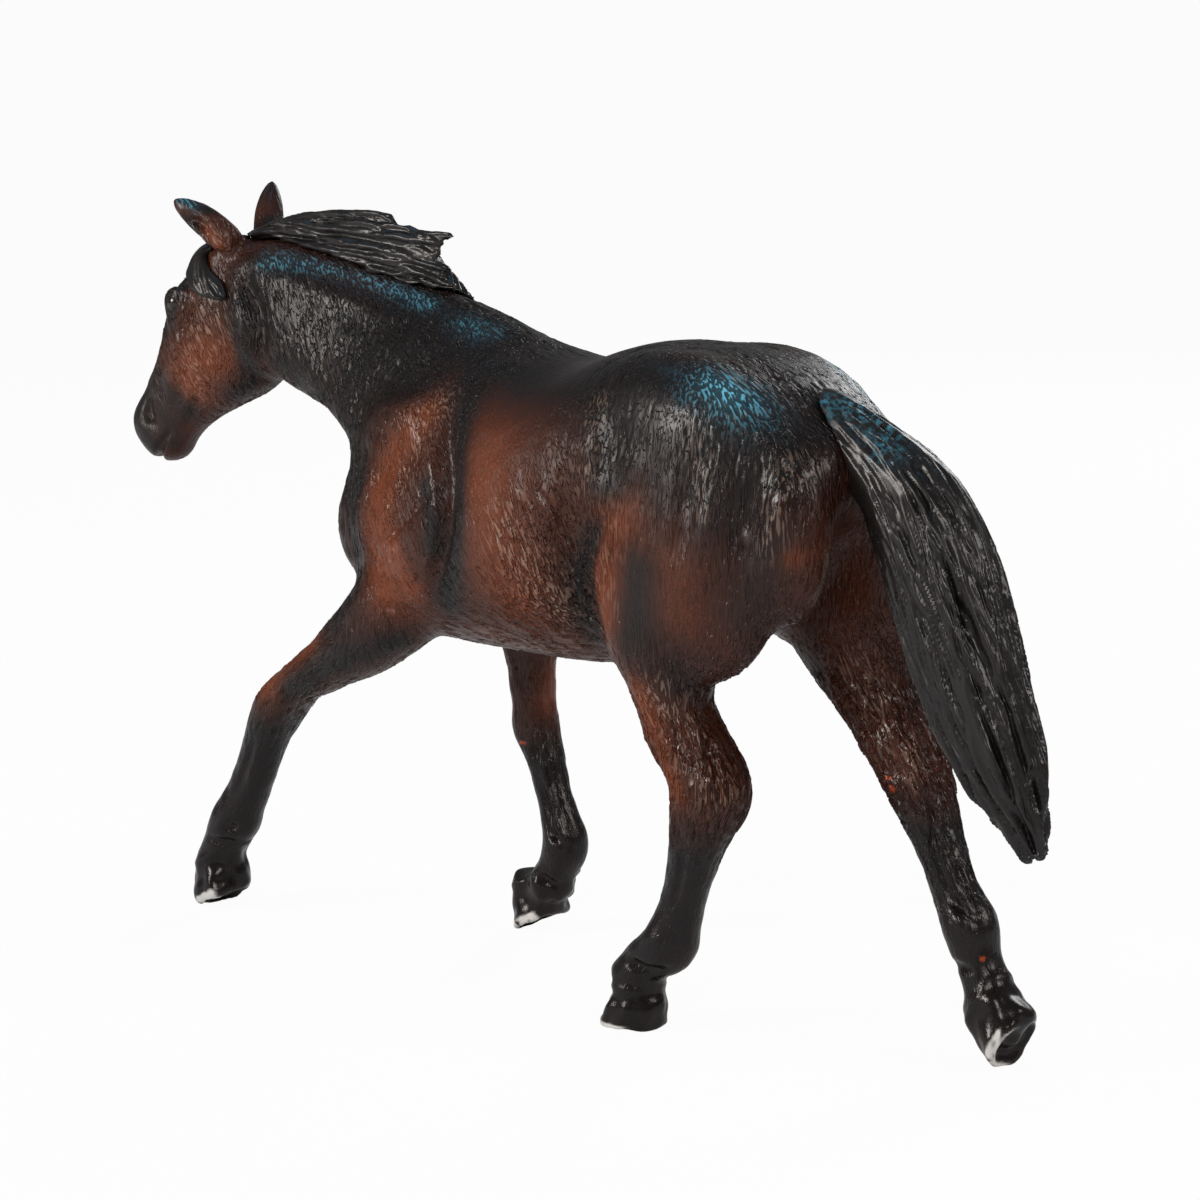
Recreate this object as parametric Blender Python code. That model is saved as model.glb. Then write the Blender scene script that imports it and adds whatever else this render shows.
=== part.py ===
"""Toy farm horse: a moulded, hand-painted bay horse figure in a striding pose.

The figure is glued up from solid vinyl castings. Each limb, the head, the tail, the mane and
the forelock is its own casting, and a moulded spigot on it seats in a socket of its neighbour.
The horse faces -X, its left side faces -Y and it stands on the plane Z = 0.
"""
import math

import bmesh
import bpy
import numpy as np
from mathutils import Matrix, Vector

MM = 0.001

# Driving sizes of the whole figure
TRUNK_LENGTH = 88.0 * MM
STANDING_HEIGHT = 88.0 * MM
BARREL_WIDTH = 37.0 * MM

# Neck and head
NECK_DEPTH = 22.0 * MM
NECK_WIDTH = 12.0 * MM
HEAD_LENGTH = 36.6 * MM
HEAD_DEPTH = 17.6 * MM
HEAD_WIDTH = 11.6 * MM
HEAD_PITCH = math.radians(34.5)
HEAD_YAW = math.radians(8.0)
EAR_LENGTH = 10.5 * MM
EAR_WIDTH = 5.0 * MM

# Limbs
LIMB_DEPTH = 5.6 * MM
LIMB_WIDTH = 4.8 * MM
HOOF_LENGTH = 8.4 * MM
HOOF_WIDTH = 8.0 * MM
HOOF_HEIGHT = 5.6 * MM

# Features of the head
EYE_RADIUS = 2.2 * MM
JOWL_RADIUS = 4.6 * MM
CHIN_RADIUS = 1.9 * MM
NOSTRIL_RADIUS = 1.3 * MM

# Hair
TAIL_DEPTH = 15.0 * MM
TAIL_WIDTH = 12.0 * MM
MANE_HEIGHT = 9.0 * MM
MANE_WIDTH = 3.4 * MM
FORELOCK_WIDTH = 4.2 * MM
FORELOCK_DEPTH = 2.6 * MM

# Modelled hollows between the muscles
HOLLOW_RADIUS = 4.6 * MM
HOLLOW_DEPTH = 0.9 * MM

# Glued joints between castings
GLUE_GAP = 0.3 * MM
SPIGOT_RADIUS = 2.0 * MM
SPIGOT_LENGTH = 4.0 * MM

# Fineness of the modelled surface
MASS_VOXEL = 1.0 * MM
FORM_VOXEL = 0.55 * MM
HAIR_VOXEL = 0.5 * MM
OVERRUN = 1.0 * MM

# How much of each sole is sunk below the ground and trimmed flat
SOLE_TRIM = 0.5 * MM

# Triangles left on the whole skin before it is cut, and on each casting
SKIN_TRIANGLES = 24000
TRIANGLES = {
    "torso": 4000, "head": 1800, "mane": 3000, "forelock": 420, "tail": 3200,
    "left_foreleg": 1150, "right_foreleg": 1000, "left_hind_leg": 1200, "right_hind_leg": 1200,
}

# Paint on the castings
COAT_COLOUR = (0.100, 0.032, 0.016)
HAIR_COLOUR = (0.012, 0.011, 0.011)
ROUGHNESS = 0.4
SHARP_ANGLE = math.radians(50.0)

LEFT, RIGHT = -1, 1
UPWARD = (0.0, 0.0, 1.0)
FORWARD = (-1.0, 0.0, 0.0)
SIDEWAYS = (0.0, 1.0, 0.0)

# The trunk from breast to buttock: x, top, bottom, half width, roundness, taper
TRUNK_SHARES = (
    (-0.466, 0.700, 0.615, 0.120, 2.0, 0.00),
    (-0.450, 0.725, 0.560, 0.230, 2.1, 0.05),
    (-0.420, 0.780, 0.515, 0.315, 2.2, 0.12),
    (-0.360, 0.865, 0.488, 0.385, 2.3, 0.20),
    (-0.280, 0.930, 0.482, 0.420, 2.3, 0.26),
    (-0.190, 0.940, 0.480, 0.450, 2.3, 0.22),
    (-0.100, 0.924, 0.480, 0.480, 2.3, 0.10),
    (0.000, 0.913, 0.482, 0.500, 2.3, 0.04),
    (0.080, 0.928, 0.490, 0.492, 2.3, 0.02),
    (0.160, 0.952, 0.512, 0.470, 2.3, 0.00),
    (0.240, 0.961, 0.548, 0.445, 2.3, -0.02),
    (0.310, 0.950, 0.600, 0.420, 2.3, -0.02),
    (0.380, 0.920, 0.650, 0.375, 2.2, 0.00),
    (0.440, 0.880, 0.690, 0.300, 2.1, 0.00),
    (0.480, 0.856, 0.730, 0.210, 2.0, 0.00),
    (0.500, 0.825, 0.765, 0.100, 2.0, 0.00),
)

# The neck from inside the withers to the poll: x, y, z, half width, up, down, roundness, taper
NECK_SHARES = (
    (-0.180, 0.000, 0.730, 1.10, 0.86, 0.78, 2.2, 0.30),
    (-0.290, 0.000, 0.790, 1.02, 0.78, 0.70, 2.2, 0.34),
    (-0.390, -0.010, 0.835, 0.86, 0.70, 0.45, 2.2, 0.36),
    (-0.490, -0.030, 0.872, 0.68, 0.63, 0.36, 2.2, 0.36),
    (-0.580, -0.062, 0.910, 0.58, 0.56, 0.35, 2.2, 0.32),
    (-0.660, -0.095, 0.943, 0.53, 0.49, 0.39, 2.2, 0.26),
    (-0.725, -0.115, 0.963, 0.49, 0.43, 0.37, 2.2, 0.15),
    (-0.775, -0.125, 0.978, 0.42, 0.30, 0.28, 2.2, 0.05),
)

# Muscle masses on each side: x, y, z, half axes in shares, then turns about X, Y and Z
MUSCLE_SHARES = (
    # shoulder blade, leaning back to the withers
    ((-0.325, 0.255, 0.715), (0.095, 0.105, 0.165), (16, 30, 0)),
    # point of the shoulder
    ((-0.400, 0.225, 0.650), (0.065, 0.120, 0.090), (0, 0, 0)),
    # triceps above the elbow
    ((-0.295, 0.290, 0.610), (0.105, 0.110, 0.110), (0, 25, 0)),
    # breast muscle
    ((-0.430, 0.110, 0.610), (0.060, 0.120, 0.085), (0, -20, 0)),
    # haunch over the hip
    ((0.250, 0.215, 0.832), (0.190, 0.200, 0.115), (0, 8, 0)),
    # point of the hip
    ((0.140, 0.320, 0.830), (0.060, 0.090, 0.060), (0, 0, 0)),
)

# The thighs, which swing with the stride: left one forward, right one back
THIGH_SHARES = {
    LEFT: (
        ((0.280, -0.300, 0.680), (0.150, 0.150, 0.190), (0, -14, 0)),
        ((0.195, -0.320, 0.600), (0.070, 0.120, 0.100), (0, 20, 0)),
        ((0.420, -0.235, 0.730), (0.085, 0.130, 0.145), (0, -12, 0)),
        ((0.330, -0.285, 0.610), (0.100, 0.125, 0.110), (0, 28, 0)),
    ),
    RIGHT: (
        ((0.300, 0.290, 0.690), (0.150, 0.150, 0.190), (0, -24, 0)),
        ((0.265, 0.320, 0.600), (0.080, 0.120, 0.095), (0, -10, 0)),
        ((0.425, 0.230, 0.740), (0.085, 0.130, 0.135), (0, -18, 0)),
        ((0.400, 0.260, 0.610), (0.100, 0.125, 0.130), (0, -24, 0)),
    ),
}

# Each limb from inside the trunk to the coronet: x, y, z, half width, front, back, roundness, taper
LIMB_SHARES = {
    "left_foreleg": (
        (-0.265, -0.250, 0.600, 1.10, 1.20, 1.35, 2.2, 0.0),
        (-0.322, -0.285, 0.540, 1.15, 0.98, 1.28, 2.2, 0.0),
        (-0.394, -0.298, 0.486, 1.05, 0.80, 1.10, 2.2, 0.0),
        (-0.475, -0.300, 0.434, 0.84, 0.54, 0.76, 2.2, 0.0),
        (-0.538, -0.298, 0.394, 0.76, 0.50, 0.54, 2.3, 0.0),
        (-0.586, -0.296, 0.352, 0.82, 0.60, 0.54, 2.5, 0.0),
        (-0.624, -0.296, 0.300, 0.68, 0.54, 0.54, 2.3, 0.0),
        (-0.655, -0.296, 0.243, 0.58, 0.50, 0.60, 2.1, 0.0),
        (-0.688, -0.298, 0.188, 0.60, 0.50, 0.66, 2.1, 0.0),
        (-0.712, -0.300, 0.152, 0.72, 0.54, 0.76, 2.2, 0.0),
        (-0.734, -0.302, 0.112, 0.66, 0.50, 0.54, 2.2, 0.0),
        (-0.750, -0.304, 0.070, 0.74, 0.60, 0.66, 2.2, 0.0),
    ),
    "right_foreleg": (
        (-0.290, 0.240, 0.600, 1.10, 1.30, 1.30, 2.2, 0.0),
        (-0.295, 0.290, 0.520, 1.00, 1.10, 1.12, 2.2, 0.0),
        (-0.290, 0.295, 0.455, 0.76, 0.80, 0.80, 2.2, 0.0),
        (-0.285, 0.295, 0.400, 0.64, 0.62, 0.60, 2.2, 0.0),
        (-0.280, 0.296, 0.362, 0.60, 0.56, 0.50, 2.3, 0.0),
        (-0.276, 0.298, 0.324, 0.66, 0.60, 0.50, 2.5, 0.0),
        (-0.258, 0.300, 0.280, 0.54, 0.48, 0.46, 2.3, 0.0),
        (-0.243, 0.302, 0.230, 0.50, 0.44, 0.46, 2.1, 0.0),
        (-0.228, 0.304, 0.186, 0.54, 0.48, 0.52, 2.1, 0.0),
        (-0.220, 0.307, 0.150, 0.66, 0.50, 0.62, 2.2, 0.0),
        (-0.238, 0.311, 0.112, 0.60, 0.44, 0.58, 2.2, 0.0),
        (-0.258, 0.315, 0.072, 0.68, 0.54, 0.66, 2.2, 0.0),
    ),
    "left_hind_leg": (
        (0.240, -0.240, 0.650, 1.20, 1.40, 1.40, 2.2, 0.0),
        (0.240, -0.285, 0.560, 1.25, 1.30, 1.30, 2.2, 0.0),
        (0.254, -0.290, 0.500, 1.02, 1.04, 0.98, 2.2, 0.0),
        (0.268, -0.280, 0.450, 0.88, 0.98, 0.74, 2.2, 0.0),
        (0.296, -0.272, 0.405, 0.84, 0.92, 0.80, 2.3, 0.0),
        (0.314, -0.268, 0.358, 0.88, 0.82, 1.00, 2.4, 0.0),
        (0.301, -0.264, 0.308, 0.78, 0.73, 0.76, 2.3, 0.0),
        (0.286, -0.262, 0.256, 0.62, 0.60, 0.58, 2.1, 0.0),
        (0.270, -0.262, 0.206, 0.56, 0.52, 0.50, 2.1, 0.0),
        (0.253, -0.264, 0.165, 0.62, 0.48, 0.60, 2.1, 0.0),
        (0.236, -0.268, 0.132, 0.74, 0.46, 0.78, 2.2, 0.0),
        (0.200, -0.272, 0.098, 0.68, 0.48, 0.58, 2.2, 0.0),
        (0.176, -0.276, 0.062, 0.76, 0.62, 0.62, 2.2, 0.0),
    ),
    "right_hind_leg": (
        (0.310, 0.230, 0.650, 1.20, 1.40, 1.40, 2.2, 0.0),
        (0.360, 0.280, 0.545, 1.15, 1.27, 1.30, 2.2, 0.0),
        (0.412, 0.272, 0.480, 0.98, 1.00, 1.00, 2.2, 0.0),
        (0.448, 0.254, 0.434, 0.86, 0.84, 0.86, 2.2, 0.0),
        (0.478, 0.242, 0.398, 0.82, 0.72, 0.90, 2.3, 0.0),
        (0.502, 0.235, 0.362, 0.80, 0.64, 0.86, 2.4, 0.0),
        (0.528, 0.230, 0.318, 0.70, 0.56, 0.66, 2.3, 0.0),
        (0.554, 0.228, 0.270, 0.58, 0.52, 0.56, 2.1, 0.0),
        (0.578, 0.226, 0.222, 0.56, 0.54, 0.56, 2.1, 0.0),
        (0.602, 0.225, 0.180, 0.68, 0.60, 0.68, 2.1, 0.0),
        (0.616, 0.225, 0.146, 0.60, 0.52, 0.50, 2.2, 0.0),
        (0.631, 0.225, 0.116, 0.58, 0.50, 0.48, 2.2, 0.0),
        (0.648, 0.225, 0.082, 0.72, 0.62, 0.62, 2.2, 0.0),
    ),
}

# How many rows of a limb are melted in with the trunk, and how far its own skin starts drawn in
ROOT_ROWS = 4
ROOT_SHARE = 0.7

# Each hoof: where the toe meets the ground, in shares, and how far the heel is lifted, in degrees
HOOF_PLACE_SHARES = {
    "left_foreleg": ((-0.782, -0.305), 26.0),
    "right_foreleg": ((-0.322, 0.325), 26.0),
    "left_hind_leg": ((0.126, -0.280), 0.0),
    "right_hind_leg": ((0.662, 0.225), 62.0),
}

# Hollows pressed into the skin, seen from the side: which sides, reach, depth, then x and z
HOLLOW_SHARES = (
    # behind the shoulder
    ((LEFT, RIGHT), 1.0, 1.0,
     ((-0.140, 0.880), (-0.130, 0.800), (-0.118, 0.700), (-0.140, 0.620), (-0.180, 0.555))),
    # ahead of the shoulder blade
    ((LEFT, RIGHT), 0.9, 0.7,
     ((-0.240, 0.910), (-0.300, 0.820), (-0.365, 0.740), (-0.400, 0.670))),
    # between blade and triceps
    ((LEFT, RIGHT), 0.5, 0.3, ((-0.185, 0.740), (-0.225, 0.690), (-0.260, 0.640))),
    # between triceps and breast
    ((LEFT, RIGHT), 0.8, 0.6, ((-0.375, 0.660), (-0.370, 0.600), (-0.380, 0.560))),
    # the flank ahead of the thigh
    ((LEFT, RIGHT), 1.1, 1.3,
     ((0.155, 0.800), (0.142, 0.720), (0.132, 0.640), (0.140, 0.560), (0.165, 0.510))),
    # ahead of the hip
    ((LEFT, RIGHT), 1.0, 0.7, ((0.185, 0.860), (0.195, 0.810), (0.180, 0.770))),
    # between the two muscles at the back of the thigh
    ((LEFT, RIGHT), 0.8, 0.7,
     ((0.440, 0.840), (0.430, 0.760), (0.405, 0.680), (0.372, 0.610), (0.345, 0.560))),
    # along the lower edge of the neck
    ((LEFT, RIGHT), 0.8, 0.8,
     ((-0.610, 0.870), (-0.535, 0.815), (-0.460, 0.760), (-0.410, 0.715))),
    # behind the jaw
    ((LEFT, RIGHT), 0.6, 0.9,
     ((-0.675, 1.000), (-0.655, 0.945), (-0.640, 0.890), (-0.640, 0.840))),
    # above the hocks, ahead of the tendon
    ((LEFT,), 0.4, 0.5, ((0.290, 0.470), (0.312, 0.430), (0.326, 0.395))),
    ((RIGHT,), 0.4, 0.5, ((0.440, 0.478), (0.472, 0.440), (0.496, 0.408))),
)
# The same, seen from the front and from the back: which end, reach, depth, then z
MIDDLE_HOLLOW_SHARES = (
    (-1, 0.9, 1.2, (0.740, 0.690, 0.640, 0.590)),
    (1, 1.2, 2.4, (0.800, 0.740, 0.680, 0.630, 0.590)),
)

# Partings between castings: inner and outer y, the two ends of the seam, the rest of the outline
SEAM_SHARES = {
    "left_foreleg": (-0.131, -0.9, (-0.540, 0.598), (-0.240, 0.401),
                     ((-0.24, -0.05), (-0.95, -0.05), (-0.95, 0.45), (-0.62, 0.61))),
    "right_foreleg": (0.120, 0.9, (-0.420, 0.468), (-0.160, 0.468),
                      ((-0.16, -0.05), (-0.42, -0.05))),
    "left_hind_leg": (-0.060, -0.9, (0.130, 0.478), (0.440, 0.512),
                      ((0.60, 0.40), (0.60, -0.05), (0.00, -0.05), (0.00, 0.40))),
    "right_hind_leg": (0.050, 0.9, (0.250, 0.436), (0.530, 0.592),
                       ((0.95, 0.30), (0.95, -0.05), (0.20, -0.05))),
    "head": (-0.9, 0.9, (-0.690, 1.150), (-0.610, 0.740),
             ((-0.72, 0.60), (-1.30, 0.60), (-1.30, 1.30), (-0.69, 1.30))),
}
# Spigots: where each leaves its casting, the way it points, its thickness
SPIGOT_SHARES = {
    "left_foreleg": ((-0.375, -0.300, 0.490), (0.75, 0.06, 0.65), 1.0),
    "right_foreleg": ((-0.290, 0.294, 0.468), (0.00, 0.00, 1.00), 0.95),
    "left_hind_leg": ((0.262, -0.287, 0.492), (-0.15, 0.00, 1.00), 1.0),
    "right_hind_leg": ((0.392, 0.272, 0.515), (-0.55, 0.00, 0.84), 1.0),
    "head": ((-0.648, -0.092, 0.935), (0.93, 0.10, -0.34), 1.0),
    "tail": ((0.500, 0.002, 0.830), (-0.80, 0.00, 0.60), 1.0),
    "mane": ((-0.500, -0.030, 1.015), (0.30, -0.05, -0.95), 0.6),
    "forelock": ((-0.800, -0.165, 1.075), (0.70, 0.10, -0.70), 0.4),
}

# The head from poll to lips: along, forehead side, jaw side, half width, roundness, taper
HEAD_SHARES = (
    (-0.02, 0.10, 0.08, 0.18, 2.0, 0.0),
    (0.03, 0.20, 0.28, 0.32, 2.1, 0.0),
    (0.10, 0.33, 0.52, 0.41, 2.1, 0.0),
    (0.19, 0.40, 0.69, 0.47, 2.2, 0.0),
    (0.30, 0.45, 0.76, 0.50, 2.3, 0.0),
    (0.41, 0.43, 0.69, 0.50, 2.3, 0.0),
    (0.51, 0.39, 0.56, 0.43, 2.3, 0.0),
    (0.62, 0.365, 0.42, 0.35, 2.2, 0.0),
    (0.72, 0.36, 0.32, 0.30, 2.2, 0.0),
    (0.81, 0.365, 0.275, 0.285, 2.2, 0.0),
    (0.88, 0.36, 0.27, 0.295, 2.2, 0.0),
    (0.93, 0.29, 0.20, 0.24, 2.1, 0.0),
    (0.965, 0.15, 0.08, 0.12, 2.0, 0.0),
)
# Rings of a hoof from the sole to the coronet: height, front, back and half width
HOOF_RING_SHARES = (
    (0.00, 0.00, 1.00, 0.50), (0.12, 0.03, 1.03, 0.52), (0.50, 0.16, 1.06, 0.48),
    (0.85, 0.29, 1.08, 0.43), (1.00, 0.36, 1.07, 0.41), (1.10, 0.45, 1.02, 0.36),
)
# How much lower a hoof is at its heel than at its toe
HEEL_DROP_SHARE = 0.3

# Rounded features on each side of the head: down, out, across, radius, flatness
FEATURE_SHARES = (
    (0.315, 0.265, 0.370, EYE_RADIUS, 0.9),
    (0.190, -0.330, 0.270, JOWL_RADIUS, 0.55),
    (0.870, 0.180, 0.190, NOSTRIL_RADIUS, 1.0),
    (0.850, -0.165, 0.070, CHIN_RADIUS, 0.9),
)
POLL_SHARES = (-0.732, -0.119, 1.040)

# Each ear: its base on the head (down, out, across), the way it points, and its twist in degrees
EAR_PLACE_SHARES = {
    LEFT: ((-0.03, 0.12, -0.30), (0.04, 0.97, -0.26), 20.0),
    RIGHT: ((-0.01, 0.05, 0.25), (-0.58, 0.71, 0.41), 55.0),
}
# Along the ear, half breadth and half depth
EAR_SHARES = (
    (-0.12, 0.30, 0.26), (0.10, 0.40, 0.32), (0.35, 0.46, 0.32), (0.60, 0.42, 0.28),
    (0.80, 0.30, 0.22), (0.94, 0.17, 0.14), (1.00, 0.07, 0.07),
)

# The forelock from between the ears over the brow to the left temple: down, out, across, half
# width, depth
FORELOCK_SHARES = (
    (-0.02, 0.10, 0.02, 0.30, 0.40),
    (0.04, 0.240, -0.07, 0.44, 0.46),
    (0.10, 0.325, -0.19, 0.56, 0.42),
    (0.148, 0.300, -0.33, 0.62, 0.40),
    (0.162, 0.175, -0.425, 0.60, 0.38),
    (0.152, 0.020, -0.460, 0.52, 0.36),
    (0.138, -0.110, -0.475, 0.38, 0.32),
    (0.128, -0.215, -0.490, 0.14, 0.20),
)

# The point in the skull that the forelock's flat sides face: down, out, across
SKULL_MIDDLE_SHARES = (0.20, -0.10, 0.00)

# The body of the mane along the crest: x, y, z, height above the crest, fall below it, spread
MANE_SHARES = (
    (-0.760, -0.118, 1.042, 0.30, 0.22, 0.55),
    (-0.715, -0.112, 1.046, 0.38, 0.45, 0.78),
    (-0.660, -0.100, 1.040, 0.48, 0.70, 0.90),
    (-0.600, -0.082, 1.028, 0.66, 0.90, 0.94),
    (-0.540, -0.066, 1.014, 0.84, 1.05, 0.94),
    (-0.480, -0.050, 0.998, 0.96, 1.15, 0.94),
    (-0.430, -0.038, 0.986, 0.94, 1.20, 0.92),
    (-0.390, -0.028, 0.978, 0.84, 1.15, 0.88),
    (-0.358, -0.020, 0.970, 0.62, 1.00, 0.84),
    (-0.335, -0.016, 0.964, 0.36, 0.92, 0.84),
    (-0.300, -0.012, 0.956, 0.25, 0.85, 0.80),
    (-0.250, -0.004, 0.950, 0.36, 0.60, 0.68),
    (-0.190, 0.000, 0.941, 0.42, 0.35, 0.55),
    (-0.130, 0.000, 0.928, 0.22, 0.15, 0.30),
)
# Its locks, which stream back to a ragged edge: x, y, z, half thickness, half height
MANE_LOCK_SHARES = (
    # three that make the upper edge
    ((-0.745, -0.118, 1.060, 0.22, 0.09), (-0.670, -0.104, 1.084, 0.34, 0.14),
     (-0.570, -0.080, 1.094, 0.40, 0.15), (-0.490, -0.060, 1.099, 0.36, 0.13),
     (-0.434, -0.048, 1.102, 0.14, 0.07)),
    ((-0.620, -0.092, 1.078, 0.24, 0.09), (-0.540, -0.074, 1.088, 0.36, 0.11),
     (-0.460, -0.056, 1.088, 0.34, 0.10), (-0.392, -0.042, 1.087, 0.12, 0.05)),
    ((-0.700, -0.112, 1.060, 0.24, 0.09), (-0.600, -0.090, 1.070, 0.42, 0.13),
     (-0.490, -0.064, 1.074, 0.46, 0.14), (-0.390, -0.040, 1.075, 0.36, 0.11),
     (-0.306, -0.022, 1.078, 0.12, 0.06)),
    # the streaming locks of the bare left side
    ((-0.660, -0.106, 1.048, 0.24, 0.09), (-0.560, -0.086, 1.054, 0.44, 0.12),
     (-0.450, -0.058, 1.058, 0.46, 0.12), (-0.380, -0.040, 1.056, 0.34, 0.09),
     (-0.328, -0.030, 1.054, 0.12, 0.05)),
    ((-0.600, -0.092, 1.036, 0.24, 0.09), (-0.510, -0.072, 1.040, 0.44, 0.12),
     (-0.420, -0.050, 1.038, 0.46, 0.12), (-0.360, -0.036, 1.032, 0.34, 0.09),
     (-0.311, -0.026, 1.028, 0.12, 0.05)),
    ((-0.560, -0.080, 1.022, 0.24, 0.08), (-0.470, -0.060, 1.022, 0.42, 0.11),
     (-0.390, -0.044, 1.014, 0.42, 0.10), (-0.340, -0.032, 1.006, 0.30, 0.08),
     (-0.296, -0.022, 1.000, 0.12, 0.05)),
    # the locks that fall over the right side
    ((-0.710, -0.090, 1.062, 0.30, 0.12), (-0.675, -0.035, 1.050, 0.42, 0.17),
     (-0.635, 0.015, 1.010, 0.40, 0.16), (-0.600, 0.045, 0.965, 0.14, 0.06)),
    ((-0.640, -0.060, 1.080, 0.30, 0.12), (-0.600, 0.000, 1.062, 0.42, 0.18),
     (-0.555, 0.060, 1.005, 0.42, 0.18), (-0.515, 0.095, 0.940, 0.14, 0.06)),
    ((-0.560, -0.045, 1.080, 0.30, 0.12), (-0.515, 0.020, 1.058, 0.42, 0.18),
     (-0.470, 0.085, 0.990, 0.42, 0.18), (-0.430, 0.120, 0.915, 0.14, 0.06)),
    ((-0.480, -0.030, 1.068, 0.30, 0.12), (-0.435, 0.035, 1.045, 0.42, 0.18),
     (-0.390, 0.095, 0.985, 0.42, 0.18), (-0.350, 0.135, 0.905, 0.14, 0.06)),
    ((-0.410, -0.020, 1.040, 0.30, 0.12), (-0.370, 0.035, 1.018, 0.40, 0.17),
     (-0.325, 0.085, 0.965, 0.38, 0.15), (-0.290, 0.120, 0.905, 0.14, 0.06)),
)
# Round its section, from the bare left side over the top: across and rise
MANE_SECTION_SHARES = (
    (-0.36, -0.05), (-0.32, 0.30), (-0.10, 0.75), (0.30, 1.00), (0.75, 0.92), (1.12, 0.55),
    (1.40, 0.05), (1.62, -0.50), (1.72, -0.95), (1.45, -1.05), (1.10, -0.80), (0.65, -0.35),
    (0.10, -0.25),
)

# The tail from the dock to its tip: x, y, z, half width, back, front, roundness, taper
TAIL_SHARES = (
    (0.360, 0.000, 0.878, 0.22, 0.18, 0.18, 2.0, 0.0),
    (0.425, 0.000, 0.863, 0.30, 0.22, 0.22, 2.1, 0.0),
    (0.500, 0.004, 0.820, 0.40, 0.27, 0.30, 2.2, 0.0),
    (0.565, 0.006, 0.758, 0.46, 0.43, 0.38, 2.2, 0.0),
    (0.612, 0.008, 0.681, 0.50, 0.49, 0.46, 2.2, 0.0),
    (0.652, 0.010, 0.597, 0.50, 0.45, 0.50, 2.2, 0.0),
    (0.690, 0.010, 0.508, 0.46, 0.40, 0.47, 2.2, 0.0),
    (0.728, 0.008, 0.426, 0.38, 0.36, 0.34, 2.2, 0.0),
    (0.762, 0.005, 0.364, 0.27, 0.26, 0.23, 2.1, 0.0),
    (0.782, 0.002, 0.320, 0.16, 0.14, 0.12, 2.0, 0.0),
)
# Its core inside the locks, how far out the locks lie and how thick they are, as shares of it
TAIL_CORE_SHARE = 0.80
TAIL_LOCK_OUT_SHARE = 0.63
TAIL_LOCK_SIZE_SHARE = 0.38
# Each lock of the tail: its place round the tail and its twist in turns, and where it ends
TAIL_LOCK_SHARES = (
    (0.000, 0.06, 0.93), (0.125, 0.05, 0.98), (0.250, 0.04, 0.90), (0.375, 0.06, 1.00),
    (0.500, 0.05, 0.94), (0.625, 0.07, 0.98), (0.750, 0.04, 0.91), (0.875, 0.05, 0.96),
)
# The share of a lock that tapers to its tip, and the waves in it: how many and how wide
LOCK_TIP_SHARE = 0.22
LOCK_WAVES = 1.5
LOCK_WAVE_SHARE = 0.014


def at(x, y, z):
    """A place from shares of the trunk length, the barrel width and the standing height."""
    return Vector((x * TRUNK_LENGTH, y * BARREL_WIDTH, z * STANDING_HEIGHT))


def spline(rows, count):
    """Rows of numbers, with a smooth curve run through them at count steps between each two."""
    rows = np.array(rows, float)
    first = 2 * rows[0] - rows[1]
    last = 2 * rows[-1] - rows[-2]
    padded = np.vstack([first, rows, last])
    out = []
    for a, b, c, d in zip(padded, padded[1:], padded[2:], padded[3:]):
        for step in range(count):
            t = step / count
            out.append(
                0.5 * (2 * b + (c - a) * t + (2 * a - 5 * b + 4 * c - d) * t**2
                       + (3 * b - a - 3 * c + d) * t**3)
            )
    out.append(rows[-1])
    return np.array(out)


def tube(bm, rings):
    """Skins a list of rings of points, each as long as the others, and closes both ends."""
    made = [[bm.verts.new(p) for p in ring] for ring in rings]
    for low, high in zip(made, made[1:]):
        for i in range(len(low)):
            j = (i + 1) % len(low)
            bm.faces.new((low[i], low[j], high[j], high[i]))
    bm.faces.new(made[0][::-1])
    bm.faces.new(made[-1])


def oval(half, high, low, roundness, taper, sides=28):
    """Points (across, rise) round a section that is narrower above where taper is over 0."""
    points = []
    for k in range(sides):
        angle = 2 * math.pi * k / sides
        c, s = math.cos(angle), math.sin(angle)
        c = math.copysign(abs(c) ** (2 / roundness), c)
        s = math.copysign(abs(s) ** (2 / roundness), s)
        points.append((half * c * (1 - taper * s), (high if s > 0 else low) * s))
    return points


def loft(bm, stations, rise_way, steps=4):
    """A body run through stations of (x, y, z, half width, high, low, roundness, taper).

    Half widths are measured sideways, and high and low square to the path, high being on the
    side of rise_way.
    """
    rows = spline(stations, steps)
    along = np.gradient(rows[:, :3], axis=0)
    rings = []
    for row, tangent in zip(rows, along):
        tangent = Vector(tangent).normalized()
        across = Vector(SIDEWAYS)
        across = (across - tangent * across.dot(tangent)).normalized()
        rise = tangent.cross(across)
        if rise.dot(Vector(rise_way)) < 0:
            rise.negate()
        place = Vector(row[:3])
        rings.append([place + across * a + rise * b for a, b in oval(*row[3:8])])
    tube(bm, rings)


def ellipsoid(bm, centre, radii, turn=(0.0, 0.0, 0.0)):
    """A muscle mass with its half axes along X, Y and Z, turned by three angles in degrees."""
    spin = Matrix.Identity(4)
    for axis, angle in zip("XYZ", turn):
        spin = Matrix.Rotation(math.radians(angle), 4, axis) @ spin
    matrix = Matrix.Translation(centre) @ spin @ Matrix.Diagonal((*radii, 1.0))
    bmesh.ops.create_icosphere(bm, subdivisions=3, radius=1.0, matrix=matrix)


def new_object(name, bm):
    mesh = bpy.data.meshes.new(name)
    bmesh.ops.recalc_face_normals(bm, faces=bm.faces)
    bm.to_mesh(mesh)
    bm.free()
    made = bpy.data.objects.new(name, mesh)
    bpy.context.scene.collection.objects.link(made)
    return made


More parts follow.
